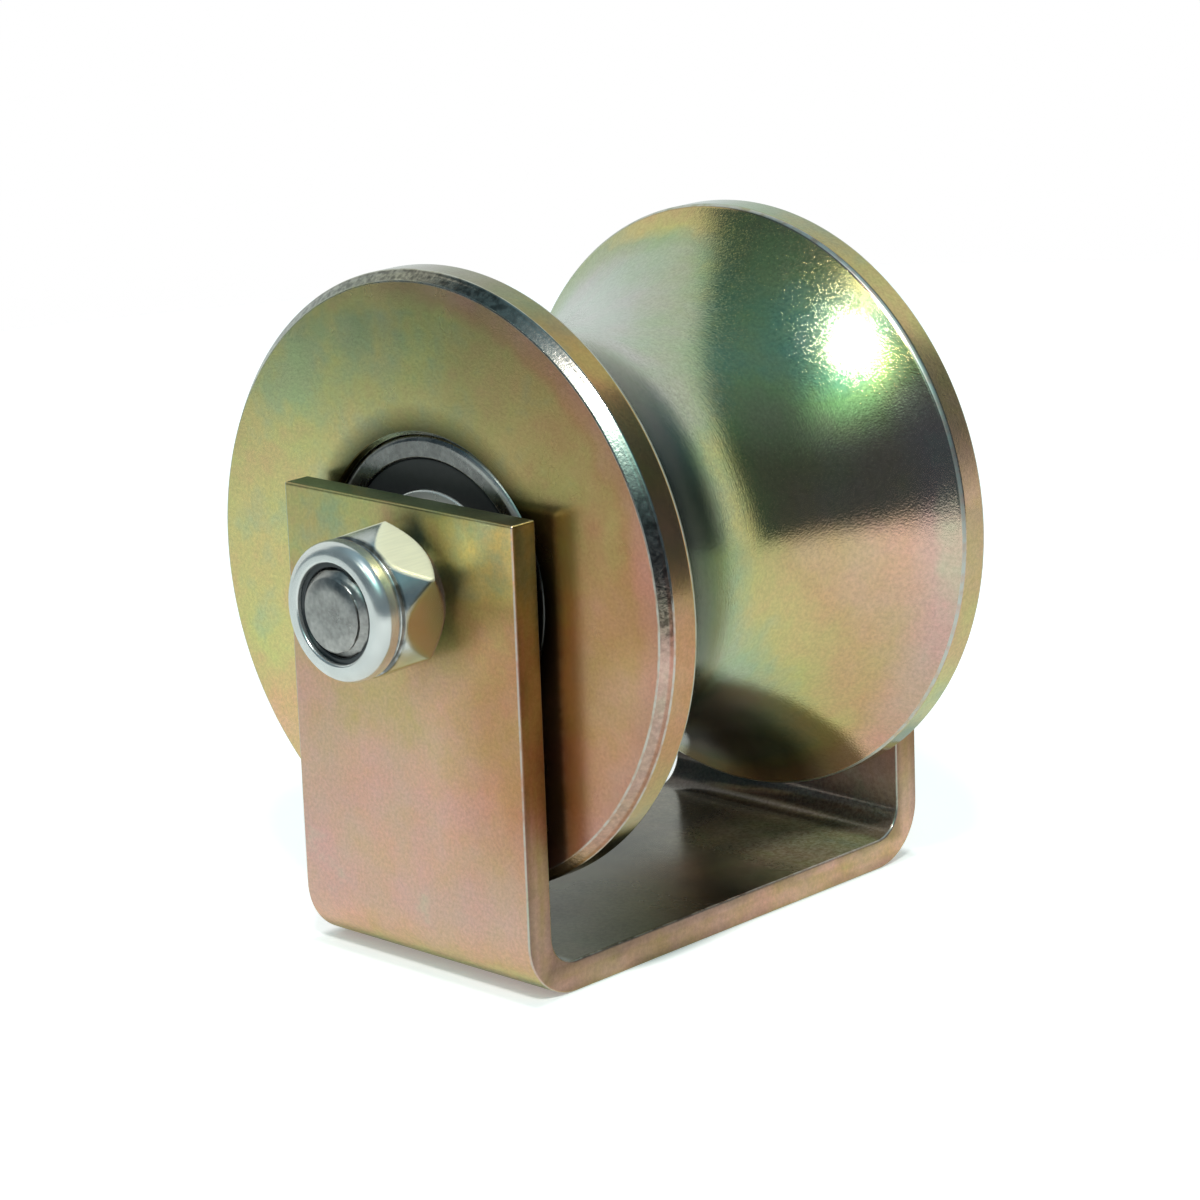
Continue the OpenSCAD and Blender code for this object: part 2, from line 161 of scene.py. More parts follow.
class FastenerSizes(bpy.types.PropertyGroup):
    """Sizes of the bolt, the lock nut and the spacers."""

    bolt_r: length("Bolt radius", "Radius of the bolt over its thread", 7, 5, 9)
    pitch: length("Thread pitch", "Pitch of the bolt's thread", 2, 0.5, 3)
    thread_l: length("Thread length", "Length of the bolt's thread", 34, 10, 60)
    bolt_chamfer: length("Bolt chamfer", "Chamfer at the bolt's end", 1.3, 0.2, 3)
    head_h: length("Head height", "Height of the bolt's head", 8.8, 5, 12)
    flats: length("Across flats", "Width of the head and the nut across their flats", 22, 15, 30)
    corner_round: length("Corner rounding", "Rounding of the hexagon's corners", 0.35, 0.05, 1)
    nut_hex_h: length("Hexagon height", "Height of the nut's hexagon", 9.2, 5, 12)
    nut_peak_h: length("Peak height", "Height at which the nut has its full corners", 3.6, 1, 6)
    nut_turn: rotation("Nut turn", "Angle of one of the nut's corners from +X", 23)
    collar_r: length("Collar radius", "Outer radius of the crimped collar", 11, 8, 13)
    collar_round: length("Collar rounding", "Rounding of the collar's front edge", 2, 0.2, 3)
    window_r: length("Window radius", "Radius of the opening in the collar", 7.9, 7.2, 9)
    pocket_wall: length("Pocket wall", "Wall of the collar around the nylon ring", 1.5, 0.5, 3)
    lip_t: length("Lip thickness", "Thickness of the collar in front of the nylon ring", 0.9, 0.3, 2)
    spacer_r: length("Spacer radius", "Radius of the spacers' flanges", 13.5, 11, 15)
    spigot_l: length("Spigot length", "Length of the spacers' spigots in the bearings", 5, 1, 9)


class FinishColours(bpy.types.PropertyGroup):
    """Colours of the finishes."""

    pale: colour("Pale plating", "Plating seen at a grazing angle", (0.50, 0.505, 0.46))
    green: colour("Green plating", "Plating seen at a slant, where it is thin", (0.39, 0.455, 0.27))
    yellow: colour("Yellow plating", "Plating between green and gold", (0.57, 0.50, 0.21))
    gold: colour("Gold plating", "Common colour of the plating", (0.60, 0.41, 0.21))
    rose: colour("Rose plating", "Plating seen from the front", (0.655, 0.41, 0.29))
    mauve: colour("Mauve plating", "Plating where it is thickest", (0.65, 0.415, 0.35))
    second: colour("Second green", "Plating so thick that it turns green again", (0.57, 0.55, 0.40))
    amber: colour("Amber stain", "Tint of the plating's brown patches", (0.80, 0.60, 0.50))
    worn: colour("Worn edge", "Edges where the plating has worn thin", (0.60, 0.58, 0.52))
    dull: colour("Dull plating", "Plating inside the bends", (0.15, 0.145, 0.12))
    zinc: colour("Zinc", "Bright zinc of the nut", (0.81, 0.80, 0.775))
    # The nut's upper flats take the first of these two and its lower flats the second: painted light and
    # shade
    lit_yellow_zinc: colour("Yellow zinc", "Zinc of the nut's hexagon", (1.0, 0.90, 0.66))
    shaded_brown_zinc: colour("Brown zinc", "Stained zinc of the nut's lower flats", (0.52, 0.45, 0.33))
    # Colour of the painted shade in the nut's neck
    dark_band: colour("Grime", "Dirt in the nut's neck", (0.10, 0.10, 0.09))
    bolt: colour("Bolt steel", "Steel of the bolt", (0.42, 0.40, 0.38))
    ring: colour("Ring steel", "Ground steel of the bearing rings", (0.30, 0.285, 0.27))
    # Colour of the rubbed inner edges and of the painted highlight on the outer rings
    rubbed_and_lit: colour("Rubbed steel", "Edges of the rings that are rubbed bright", (0.80, 0.78, 0.74))
    # Colour of the painted shade on the lower part of the outer rings
    painted_ring_shade: colour("Grease", "Grease on the lower part of the outer ring", (0.04, 0.038, 0.035))
    ball: colour("Ball steel", "Polished steel of the balls", (0.8, 0.8, 0.82))
    cage: colour("Cage steel", "Pressed steel of the ball cages", (0.6, 0.6, 0.6))
    rubber: colour("Rubber", "Seals", (0.018, 0.018, 0.018))
    nylon: colour("Nylon", "Ring in the lock nut", (0.02, 0.022, 0.024))
    spacer: colour("Spacer steel", "Spacers and sleeve", (0.30, 0.27, 0.22))


class StageSettings(bpy.types.PropertyGroup):
    """Camera, lamp and surroundings."""

    azimuth: rotation("Azimuth", "Turn of the camera about Z from -Y", 43.94)
    elevation: rotation("Elevation", "Height angle of the camera", 14.98)
    roll: rotation("Roll", "Turn of the camera about its own axis", -2.13)
    distance: length("Distance", "Distance from the camera to the point that it aims at", 659.4, 100, 3000)
    aim: FloatVectorProperty(
        name="Aim", description="Point that the camera aims at", default=(0.00074, -0.00308, 0.05137),
        subtype="TRANSLATION", size=3,
    )
    lens: number("Lens", "Focal length on a 36 mm sensor", 122.92, 20, 400)
    lamp_azimuth: rotation("Lamp azimuth", "Turn of the lamp about Z from -Y", 42)
    lamp_elevation: rotation("Lamp elevation", "Height angle of the lamp", 53)
    lamp_distance: length("Lamp distance", "Distance from the object to the lamp", 800, 200, 3000)
    lamp_w: length("Lamp width", "Width of the lamp", 120, 20, 1000)
    lamp_h: length("Lamp height", "Height of the lamp's face", 85, 20, 1000)
    lamp_power: number("Lamp power", "Power of the lamp in watts", 3.5, 0, 200)
    table_x: length("Table place X", "Middle of the round table along X", 30, -1000, 1000)
    table_y: length("Table place Y", "Middle of the round table along Y", 60, -1000, 1000)
    table_r: length("Table radius", "Radius of the pale table under the object", 540, 200, 3000)
    table_colour: colour("Table", "Colour of the table", (0.90, 0.885, 0.86))
    backdrop: colour("Backdrop", "Pale surroundings behind the object", (0.78, 0.86, 0.84))
    room: colour("Room", "Dim surroundings on the camera's side", (0.058, 0.098, 0.125))
    ceiling: colour("Ceiling", "Light that the ceiling adds over the dim side", (0.07, 0.19, 0.25))
    glow: colour("Glow", "Colour of the light that surrounds the lamp", (0.36, 1.0, 0.88))
    halo: colour("Halo", "Colour of the lamp's own halo", (1.0, 1.0, 0.96))
    window: colour("Window", "Colour of the bright window beside the lamp", (1.0, 0.98, 0.86))
    glow_light: number("Glow strength", "Strength of the glow", 1.5)
    halo_light: number("Halo strength", "Strength of the halo", 1.4)
    window_light: number("Window strength", "Strength of the window", 4.0)


def settings(name):
    """The scene's property group of that name."""
    return getattr(bpy.context.scene, name)


def sight(azimuth, elevation, roll=0.0):
    """Unit vectors sideways, upwards and along the way to an azimuth, counted from -Y to +X, and an
    elevation above the horizon. The first two are turned about the third by the roll."""
    flat = math.cos(elevation)
    way = Vector((math.sin(azimuth) * flat, -math.cos(azimuth) * flat, math.sin(elevation)))
    right = Vector((math.cos(azimuth), math.sin(azimuth), 0.0))
    up = way.cross(right)
    side = right * math.cos(roll) + up * math.sin(roll)
    return side, up * math.cos(roll) - right * math.sin(roll), way


def rounded_outline(corners, radii, steps=6, support=0.06 * MM):
    """Points of a closed outline whose corners are arcs of the given radii, tangent to both sides.

    A corner of angle a and radius r starts and ends r / tan(a / 2) from its point, and its arc's centre
    lies r / sin(a / 2) from it on the bisector. One more point on each side, just outside the arc, keeps
    the flats flat under smooth shading.
    """
    corners = np.asarray(corners, float)
    outline = []
    for here, before, after, radius in zip(corners, np.roll(corners, 1, 0), np.roll(corners, -1, 0), radii):
        if radius <= 0:
            outline.append(here[None])
            continue
        back, ahead = before - here, after - here
        back_l, ahead_l = np.linalg.norm(back), np.linalg.norm(ahead)
        back, ahead = back / back_l, ahead / ahead_l
        half = math.acos(np.clip(back @ ahead, -1, 1)) / 2
        reach = radius / math.tan(half)
        middle = back + ahead
        centre = here + middle / np.linalg.norm(middle) * radius / math.sin(half)
        start, end = here + back * reach - centre, here + ahead * reach - centre
        turn = math.pi - 2 * half
        share = np.linspace(0, 1, steps + 1)[:, None]
        arc = centre + (np.sin((1 - share) * turn) * start + np.sin(share * turn) * end) / math.sin(turn)
        if reach + support < back_l / 2:
            outline.append((here + back * (reach + support))[None])
        outline.append(arc)
        if reach + support < ahead_l / 2:
            outline.append((here + ahead * (reach + support))[None])
    return np.concatenate(outline)


def add_object(name, data):
    """A new object with that data, linked to the scene."""
    made = bpy.data.objects.new(name, data)
    bpy.context.scene.collection.objects.link(made)
    return made


def grid_piece(name, points, close_rows=False, caps=False):
    """A mesh object from a grid of points, rows by columns by 3, with one quad between each four neighbours
    and the last column joined to the first. Caps close the first and the last row.

    Doubled points are welded, so that rows that shrink to a point become poles, and the faces are turned
    outwards and shaded smooth.
    """
    rows, columns = points.shape[:2]
    index = np.arange(rows * columns).reshape(rows, columns)
    ends = index[[0, -1]].tolist() if caps else []
    if close_rows:
        index = np.concatenate([index, index[:1]], 0)
    index = np.concatenate([index, index[:, :1]], 1)
    quads = np.stack([index[:-1, :-1], index[:-1, 1:], index[1:, 1:], index[1:, :-1]], -1).reshape(-1, 4)
    mesh = bpy.data.meshes.new(name)
    mesh.from_pydata(points.reshape(-1, 3), [], quads.tolist() + ends)
    bm = bmesh.new()
    bm.from_mesh(mesh)
    bmesh.ops.remove_doubles(bm, verts=bm.verts, dist=1e-7)
    bmesh.ops.recalc_face_normals(bm, faces=bm.faces)
    bm.to_mesh(mesh)
    bm.free()
    mesh.polygons.foreach_set("use_smooth", np.ones(len(mesh.polygons), bool))
    mesh.update()
    return add_object(name, mesh)


def turned(radius, along, angle):
    """Points of a surface of revolution about the axle: each is the radius away from the axle, turned by
    the angle from +X towards +Z, at the place along Y."""
    return np.stack([radius * np.cos(angle), along + 0 * angle, AXLE_Z + radius * np.sin(angle)], -1)


def revolve(name, outline, around, closed=True):
    """A turned piece: the outline, as radius and place along Y, carried once round the axle."""
    angle = np.linspace(0, 2 * math.pi, around, endpoint=False)[None]
    return grid_piece(name, turned(outline[:, :1], outline[:, 1:], angle), close_rows=closed)


def paint(piece, material):
    """Gives an object one material in place of those that it has."""
    piece.data.materials.clear()
    piece.data.materials.append(material)


def give(piece, material, body, node):
    """Gives a new piece its material and its body, and hides the CAD node that it stands for."""
    paint(piece, material)
    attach(piece, body)
    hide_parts(node)


class Value:
    """A number that a node tree works out. What is done with it adds nodes to the same tree."""

    def __init__(self, tree, socket):
        self.tree = tree
        self.socket = socket

    def __add__(self, other):
        return self.tree.math("ADD", self, other)

    def __sub__(self, other):
        return self.tree.math("SUBTRACT", self, other)

    def __rsub__(self, other):
        return self.tree.math("SUBTRACT", other, self)

    def __mul__(self, other):
        return self.tree.math("MULTIPLY", self, other)

    def __truediv__(self, other):
        return self.tree.math("DIVIDE", self, other)

    def __pow__(self, other):
        return self.tree.math("POWER", self, other)

    def __abs__(self):
        return self.tree.math("ABSOLUTE", self)

    __radd__ = __add__
    __rmul__ = __mul__

    def least(self, other):
        """The smaller of this and another number."""
        return self.tree.math("MINIMUM", self, other)

    def most(self, *others):
        """The largest of this and other numbers."""
        largest = self
        for other in others:
            largest = self.tree.math("MAXIMUM", largest, other)
        return largest

    def spread(self, low, high, to_low=0.0, to_high=1.0):
        """The range low to high, spread over another range and cut off outside it."""
        inputs = {"Value": self, "From Min": low, "From Max": high, "To Min": to_low, "To Max": to_high}
        return self.tree.value("ShaderNodeMapRange", inputs, "Result")

    def over(self, low, high, to_low=0.0, to_high=1.0, past=0.0):
        """The same for a length, whose range is given in millimetres past another length."""
        return self.spread(past + low * MM, past + high * MM, to_low, to_high)

    def between(self, at_0, at_1):
        """The first number where this is 0, and the second where it is 1."""
        return self.spread(0.0, 1.0, at_0, at_1)


class NodeTree:
    """A node tree whose nodes are added one at a time."""

    def node(self, kind, inputs=None, **options):
        """A node of that kind. An input is a plain value, or another node's output to link."""
        made = self.tree.nodes.new(kind)
        for option, value in options.items():
            setattr(made, option, value)
        for key, value in (inputs or {}).items():
            self.set(made.inputs[key], value)
        return made

    def set(self, socket, value):
        """Links a socket to an output, or sets its value."""
        if isinstance(value, Value):
            value = value.socket
        if isinstance(value, bpy.types.NodeSocket):
            self.tree.links.new(value, socket)
        else:
            socket.default_value = value

    def value(self, kind, inputs=None, output=0, **options):
        """The number that a new node gives."""
        return Value(self, self.node(kind, inputs, **options).outputs[output])

    def math(self, operation, a, b=0.0):
        """The result of a sum on one or two numbers."""
        return self.value("ShaderNodeMath", {0: a, 1: b}, operation=operation)

    def vector(self, operation, *inputs):
        """The vector that comes of a sum on vectors."""
        made = self.node("ShaderNodeVectorMath", dict(enumerate(inputs)), operation=operation)
        return made.outputs["Vector"]

    def measure(self, operation, *inputs):
        """The number that comes of a sum on vectors, such as a distance."""
        return self.value("ShaderNodeVectorMath", dict(enumerate(inputs)), "Value", operation=operation)

    def point(self, x, y, z):
        """The vector with these three parts."""
        return self.node("ShaderNodeCombineXYZ", {0: x, 1: y, 2: z}).outputs[0]

    def ramp(self, value, stops):
        """A colour that runs through the stops, each a place from 0 to 1 and a colour."""
        made = self.node("ShaderNodeValToRGB", {"Fac": value})
        elements = made.color_ramp.elements
        while len(elements) < len(stops):
            elements.new(0.5)
        for element, (place, shade) in zip(elements, stops):
            element.position = place
            element.color = (*shade, 1.0)
        return made.outputs["Color"]

    def mix(self, share, a, b, blend="MIX"):
        """Colour a turned into colour b by the share."""
        a, b = (c if isinstance(c, bpy.types.NodeSocket) else (*c, 1.0) for c in (a, b))
        inputs = {"Factor": share, 6: a, 7: b}
        return self.node("ShaderNodeMix", inputs, data_type="RGBA", blend_type=blend).outputs[2]

    def scaled(self, shade, factor, share=1.0):
        """A colour times a number, as far as the share says."""
        grey = self.node("ShaderNodeCombineColor", {0: factor, 1: factor, 2: factor}).outputs[0]
        return self.mix(share, shade, grey, "MULTIPLY")


class Finish(NodeTree):
    """A new material, shaded by place on its object."""

    def __init__(self, name):
        self.material = bpy.data.materials.new(name)
        self.material.use_nodes = True
        self.tree = self.material.node_tree
        self.shader = self.tree.nodes["Principled BSDF"]
        self.place = self.node("ShaderNodeTexCoord").outputs["Object"]

    def shade(self, **inputs):
        """Sets the shader's inputs, named with underscores for spaces, and returns the material."""
        for key, value in inputs.items():
            self.set(self.shader.inputs[key.replace("_", " ")], value)
        return self.material

    def xyz(self):
        """The three coordinates of the place."""
        outputs = self.node("ShaderNodeSeparateXYZ", {0: self.place}).outputs
        return [Value(self, output) for output in outputs]

    def noise(self, scale, detail=2.0, place=None, roughness=0.5, distortion=0.0):
        """Cloudy noise with about that many features in a metre, between 0 and 1."""
        inputs = {"Vector": place or self.place, "Scale": scale, "Detail": detail,
                  "Roughness": roughness, "Distortion": distortion}
        return self.value("ShaderNodeTexNoise", inputs, "Fac")

    def axle_radius(self):
        """Distance from the axle."""
        centred = self.vector("ADD", self.place, (0, 0, -AXLE_Z))
        return self.measure("LENGTH", self.vector("MULTIPLY", centred, (1, 0, 1)))

    def away(self, x, y, z):
        """Distance from a point that is given in millimetres."""
        return self.measure("DISTANCE", self.place, (x * MM, y * MM, z * MM))

    def bump(self, height, depth):
        """The surface's normal, shaken by a height from 0 to 1 of that depth in metres."""
        return self.node("ShaderNodeBump", {"Height": height, "Distance": depth}).outputs["Normal"]


class Surroundings(NodeTree):
    """The world's node tree, shaded by direction."""

    def __init__(self, world):
        self.tree = world.node_tree
        self.way = self.node("ShaderNodeTexCoord").outputs["Generated"]

    def along(self, axis):
        """How far the direction points along an axis: 1 is straight along it."""
        return self.measure("DOT_PRODUCT", self.way, tuple(axis))

    def lobe(self, azimuth, elevation, side_reach, up_reach, edge, tilt=0.0):
        """A soft patch of light: 1 in its middle, and falling as the exponential of minus a power of the
        squared distance from it, counted in the patch's own reaches sideways and upwards. The angles are in
        degrees."""
        side, up, middle = sight(math.radians(azimuth), math.radians(elevation), math.radians(tilt))
        apart = (self.along(side) / side_reach) ** 2.0 + (self.along(up) / up_reach) ** 2.0
        fade = self.math("EXPONENT", apart ** edge * -1.0)
        return fade * self.along(middle).spread(0.0, 0.3)


def plating_colour(finish, shift, stain, patches, lowest):
    """Colour of yellow zinc plating, a thin layer that shimmers. It runs from pale through green, yellow,
    gold and rose to mauve as the view straightens. The shift and three noises stand for the layer's
    thickness, which moves it along, and the stain turns it amber. Patches scales the noises, and lowest is
    the lowest place on that run."""
    tint = settings("guide_colours")
    run_l = 1.4
    run = (
        (0.20, tint.pale), (0.52, tint.green), (0.67, tint.yellow), (0.82, tint.gold), (1.0, tint.rose),
        (1.20, tint.mauve), (1.36, tint.second),
    )
    facing = finish.value("ShaderNodeLayerWeight", {"Blend": 0.5}, "Facing")
    clouds = (finish.noise(45, detail=3, distortion=0.6) * 0.34 + finish.noise(130) * 0.26
              + finish.noise(420, detail=3) * 0.16 - 0.38)
    layer = (shift - facing + clouds * patches).most(lowest - 1.0)
    shade = finish.ramp(layer.spread(-1.0, run_l - 1.0), [(place / run_l, tone) for place, tone in run])
    patchy = stain * finish.noise(70, detail=3).spread(0.25, 0.55, 0.6, 1)
    shade = finish.mix(patchy, shade, tint.amber, "MULTIPLY")
    speckle = finish.noise(1700, detail=3, roughness=0.7)
    shade = finish.scaled(shade, speckle.spread(0.35, 0.65, 0.93, 1.13))
    pinkish, greenish = (1.06, 0.965, 1.0), (0.965, 1.02, 0.955)
    shimmer = finish.mix(finish.noise(85, detail=3).spread(0.36, 0.64), pinkish, greenish)
    return finish.mix(1.0, shade, shimmer, "MULTIPLY")


def turned_plating():
    """Yellow zinc plating on turned steel, over a fine grain. The groove has fine rings about the axle,
    painted shade beside the near flange and a darker patch low down, the side faces are duller with a painted
    sheen on the upper left, the rims' chamfers are rough and partly dark with painted dark reflections, the
    lands carry painted shade at the top, and the rims' edges are worn pale."""
    finish = Finish("turned_plating")
    size = settings("guide_wheel")
    tint = settings("guide_colours")
    half_w = WHEEL_W / 2
    x, y, z = finish.xyz()
    radius = finish.axle_radius()
    beside = abs(y - WHEEL_Y)

    # Where the face, the two lands, the chamfers and the groove are
    face = beside.over(-0.10, -0.05, past=half_w)
    lands = radius.over(-0.6, -0.4, past=WHEEL_R)
    outside = face.most(lands)
    chamfer = (radius.spread(WHEEL_R - size.chamfer_h, WHEEL_R - 0.9 * size.chamfer_h)
               * beside.spread(half_w - size.chamfer_w, half_w - 0.9 * size.chamfer_w))
    groove = 1 - outside.most(chamfer)
    upper = z.over(78, 94)
    crown = x.over(-12, 12) * upper

    # The layer's thickness and its stains, and a painted sheen on the face
    leftward = face * x.over(-30, 5, 0.75, 0)
    rim = radius.over(42.5, 46.4) * (1 - leftward - crown * groove)
    thin = (x.over(8, 20, 0, 0.08) * upper).most(finish.away(30, 25, 92.5).over(7, 18, 0.34, 0))
    land = lands * y.over(-10, 10, 0.85, 0)
    shift = z.over(40, 100, 0.12, -0.08) + rim * 0.24 - thin * groove + face * x.over(-45, 45, -0.03, 0.10)
    stain = (face * x.over(0, 45)).most(land)
    shift = shift - land * 0.08
    shade = plating_colour(finish, shift, stain, outside.between(0.7, 1.05), face.between(0, 0.57))
    # Painted sheen: the face is painted lighter on its left, most towards the top
    painted_sheen = x.over(-30, 8, 1, 0) * z.over(62, 86, 0.28, 0.46) * face
    shade = finish.scaled(shade, painted_sheen + 1)

    # Paler upper chamfers and painted dark reflections on the chamfers, a darker band round the bearing,
    # painted shade in the groove beside the near flange and on the lands' tops, and a darker patch low in the
    # groove
    # Painted dark reflections on the chamfers: darkest from the axle's height to about 80 mm, lighter below,
    # and dark again at the top except on the right, broken up by speckles
    low_painted_dark = (z.over(56, 62) * z.over(78, 88, 0.80, 0)).most(z.over(50, 60, 0.30, 0))
    top_painted_dark = x.over(16, 30, 0.75, 0) * z.over(85, 95)
    speckled = finish.noise(1100, detail=3).spread(0.38, 0.62, 0.5, 1)
    dark = chamfer * low_painted_dark.most(top_painted_dark) * speckled
    # A darker band on the face round the bearing
    dark_band = face * radius.over(0.7, 5, 0.8, 0, past=BEARING_R)
    # Painted shade in the groove on its near side, towards the front, beside the near flange
    painted_flange_shade = groove * x.over(0, 15) * y.over(-17, -8, 0.52, 0)
    # A darker patch low on the groove's far side, towards the front
    low_dark_patch = groove * finish.away(10, 21, 20).over(7, 14, 0.55, 0)
    # Painted shade: the lands are darker at the top of the wheel
    high = lands * z.over(98, 106, 0, 0.28)
    shade = finish.mix(chamfer * z.over(64, 80, 0, 0.7), shade, tint.worn)
    shade = finish.scaled(shade, 1 - dark.most(dark_band, painted_flange_shade, low_dark_patch, high))

    # Worn edges, found by their distance from three corners of the wheel's section
    across = finish.point(radius, beside, 0.0)
    lip_y = math.sqrt(size.groove_r ** 2 - (size.waist_r + size.groove_r - WHEEL_R) ** 2)
    inner_edge = finish.measure("DISTANCE", across, (WHEEL_R - size.chamfer_h, half_w, 0.0))
    outer_edge = finish.measure("DISTANCE", across, (WHEEL_R, half_w - size.chamfer_w, 0.0))
    lip = finish.measure("DISTANCE", across, (WHEEL_R - 0.1 * MM, lip_y, 0.0)).over(0.28, 0.42, 1, 0)
    worn = inner_edge.least(outer_edge).over(0.14, 0.26, 0.75, 0).most(lip)
    shade = finish.mix(worn * finish.noise(500).spread(0.35, 0.55, 0.4, 1), shade, tint.worn)

    rings = finish.noise(2600, place=finish.point(radius, y, x * 0.01), roughness=0.6)
    grain = (finish.noise(2600, detail=3, roughness=0.65) * outside.between(1, 0.22)
             + chamfer * finish.noise(1800))
    waves = finish.noise(90, detail=1) * outside.between(1, 0.4)
    specks = groove * crown * finish.noise(2800, detail=3, roughness=0.7).spread(0.55, 0.70)
    height = rings * outside.between(1, 0.06) * 0.014 + grain * 0.026 + waves * 0.08 + specks * 0.011
    rough = finish.noise(140, detail=3).spread(0.3, 0.7, 0.12, 0.155)
    rough = rough + face * 0.12 + chamfer * 0.08 + lip * 0.22
    return finish.shade(Base_Color=shade, Metallic=1.0, Roughness=rough, Normal=finish.bump(height, MM))


def strip_plating():
    """Yellow zinc plating on rolled strip, with a fine even grain. It is thicker towards the base and dull
    and grey inside the bends. Painted shade darkens the far bend, the base under the wheel and the near ear
    round the nut, painted light brightens the ears beside the nut and the base towards the far bend, and the
    sheared edges are darker up the ears as painted shade, streaked, and worn pale at their corners."""
    finish = Finish("strip_plating")
    tint = settings("guide_colours")
    x, y, z = finish.xyz()
    across, along = abs(x), abs(y)
    inner = EAR_FAR - settings("guide_bracket").strip_t

    # Where the sheared edges and the inner faces are
    top = z.over(-0.12, -0.04, past=STRIP_Z)
    edge = across.over(-0.12, -0.04, past=STRIP_X).most(top)
    inside = along.over(0.1, 0.2, 1, 0, past=inner) * z.over(2.4, 2.6) * (1 - edge)

    # The layer's thickness, streaked along the sheared edges
    depth = z.least(EAR_FAR - along)
    streaks = finish.noise(450, place=finish.point(depth, (z - y) * 0.07, x * 0.1), distortion=0.3)
    left = x.over(-24, 12, 0.17, 0) * z.over(50, 68, 1, 0)
    thick = z.over(12, 72, 0.44, -0.02) + left + edge * ((streaks - 0.50) * 0.42 - 0.09) + top * 0.35
    shade = plating_colour(finish, thick, x.over(6, 22) * z.over(12, 30), 1.4, 0.52)

    # Dull and frosted low down on the inside
    frost = finish.noise(1700, detail=3, roughness=0.65).spread(0.35, 0.65, 0.4, 1.6)
    bare_patches = finish.noise(110).spread(0.35, 0.65, 0.58, 0.72)
    shade = finish.mix(inside * z.over(8, 18, 1, 0.05) * bare_patches, shade, finish.scaled(tint.dull, frost))

    # Painted shade in the far bend, around the nut and under the wheel, and painted light beside the nut and
    # at the far end
    # Painted shade inside the far bend, and over the near half of the inside, under the wheel
    bend = inside * y.over(-6, -4, past=inner) * z.over(10, 14, 0.5, 0)
    bend = bend.most(inside * y.over(2, 20, 0.76, 0))
    # Painted shade on the near ear's outer face beside the nut, on its right and mostly above the axle
    seat = finish.axle_radius().over(12.5, 18.5, 0.7, 0) * x.over(-4, 4)
    seat = seat * z.over(-12, 4, 0.3, 1, past=AXLE_Z) * y.over(0.04, 0.1, 1, 0, past=EAR_NEAR)
    # Painted shade on the inside under the wheel, towards the back
    painted_shade_under_wheel = x.over(-7, 3, 0.60, 0) * y.over(-2, 6) * inside
    # Painted sheen: the ears are painted lighter on their right, above the axle
    painted_sheen = x.over(9, 18, 0, 0.95) * z.over(1, 8, past=AXLE_Z) * (1 - edge)
    shade = finish.scaled(shade, (1 - bend.most(seat)) * (1.06 + painted_sheen) * (1 - painted_shade_under_wheel))
    # Painted light on the inside towards the far end, strongest low down
    painted_far_light = inside * z.over(10, 16, 1, 0.3) * y.over(12, 28, 0, 0.5)
    shade = finish.scaled(shade, painted_far_light + 1)

    # Painted shade on the sheared edges, darker up the ears and on the near side, with bands and streaks
    # along them
    painted_shade_and_bands = (z * y.over(38, 42)).over(6, 20, 0.78, 0.52) * y.over(-45, 20, 0.82, 1.28)
    depth = depth + finish.noise(90, detail=3).spread(0.3, 0.7, -1 * MM, 1 * MM)
    bands = depth.over(3.2, 4.8, 1, 0.66) * depth.over(0, 1.6, 0.74, 1.04)
    painted_shade_and_bands = (painted_shade_and_bands * (bands * streaks.spread(0.30, 0.70, 0.92, 1.06))).most(top * 0.82)
    shade = finish.scaled(shade, (painted_shade_and_bands - 1) * edge + 1)

    worn = across.over(-0.42, -0.30, past=STRIP_X) * across.over(-0.14, -0.06, 1, 0, past=STRIP_X)
    shade = finish.mix(worn * finish.noise(500).spread(0.35, 0.55, 0.2, 0.7), shade, tint.worn)
    height = finish.noise(3000, roughness=0.6) * 0.006 + finish.noise(80, detail=1) * 0.05
    rough = finish.noise(120, detail=3).spread(0.3, 0.7, 0.33, 0.39) + edge * 0.06
    rough = rough - inside * y.over(-20, 25, 0.06, 0.19)
    bare = 1 - inside * y.over(0, 25, 0.30, 0.55)
    return finish.shade(Base_Color=shade, Metallic=bare, Roughness=rough, Normal=finish.bump(height, MM))


def plain_metal(name, tone, rough_low, rough_high, grain_depth=0.002 * MM, contrast=1.0, bright=None):
    """A bare metal with uneven gloss and a fine grain. Bright holds two radii about the axle: inside the
    first the metal is rubbed brighter, and outside the second it carries a painted highlight on the upper
    right and painted shade below."""
    finish = Finish(name)
    tint = settings("guide_colours")
    bare = 1.0
    cloud = finish.noise(300, detail=3)
    light = [min(1.0, (1 + 0.12 * contrast) * c) for c in tone]
    dark = [(1 - 0.18 * contrast) * c for c in tone]
    uneven = cloud * 0.6 + finish.noise(1400, detail=3) * 0.4
    shade = finish.mix(uneven.spread(0.38, 0.62), dark, light)
    if bright:
        inner_r, outer_r = bright
        x, _, z = finish.xyz()
        radius = finish.axle_radius()
        rim = radius.over(-0.3, 0, past=outer_r)
        high = z.over(6, 14, past=AXLE_Z)
        # Rubbed brighter inside the first radius, and a painted highlight on the outer rim's upper right
        rubbed_and_lit = radius.over(0, 0.3, 1, 0, past=inner_r).most(rim * x.over(4, 16, 0, 0.9) * high)
        bare = 1 - rubbed_and_lit * 0.35
        shade = finish.mix(rubbed_and_lit, shade, tint.rubbed_and_lit)
        # Painted shade: the outer rim is darker below
        shade = finish.mix(rim * (1 - high) * 0.8, shade, tint.painted_ring_shade)
    return finish.shade(
        Base_Color=shade, Metallic=bare, Roughness=cloud.spread(0.3, 0.7, rough_low, rough_high),
        Normal=finish.bump(finish.noise(2200), grain_depth),
    )


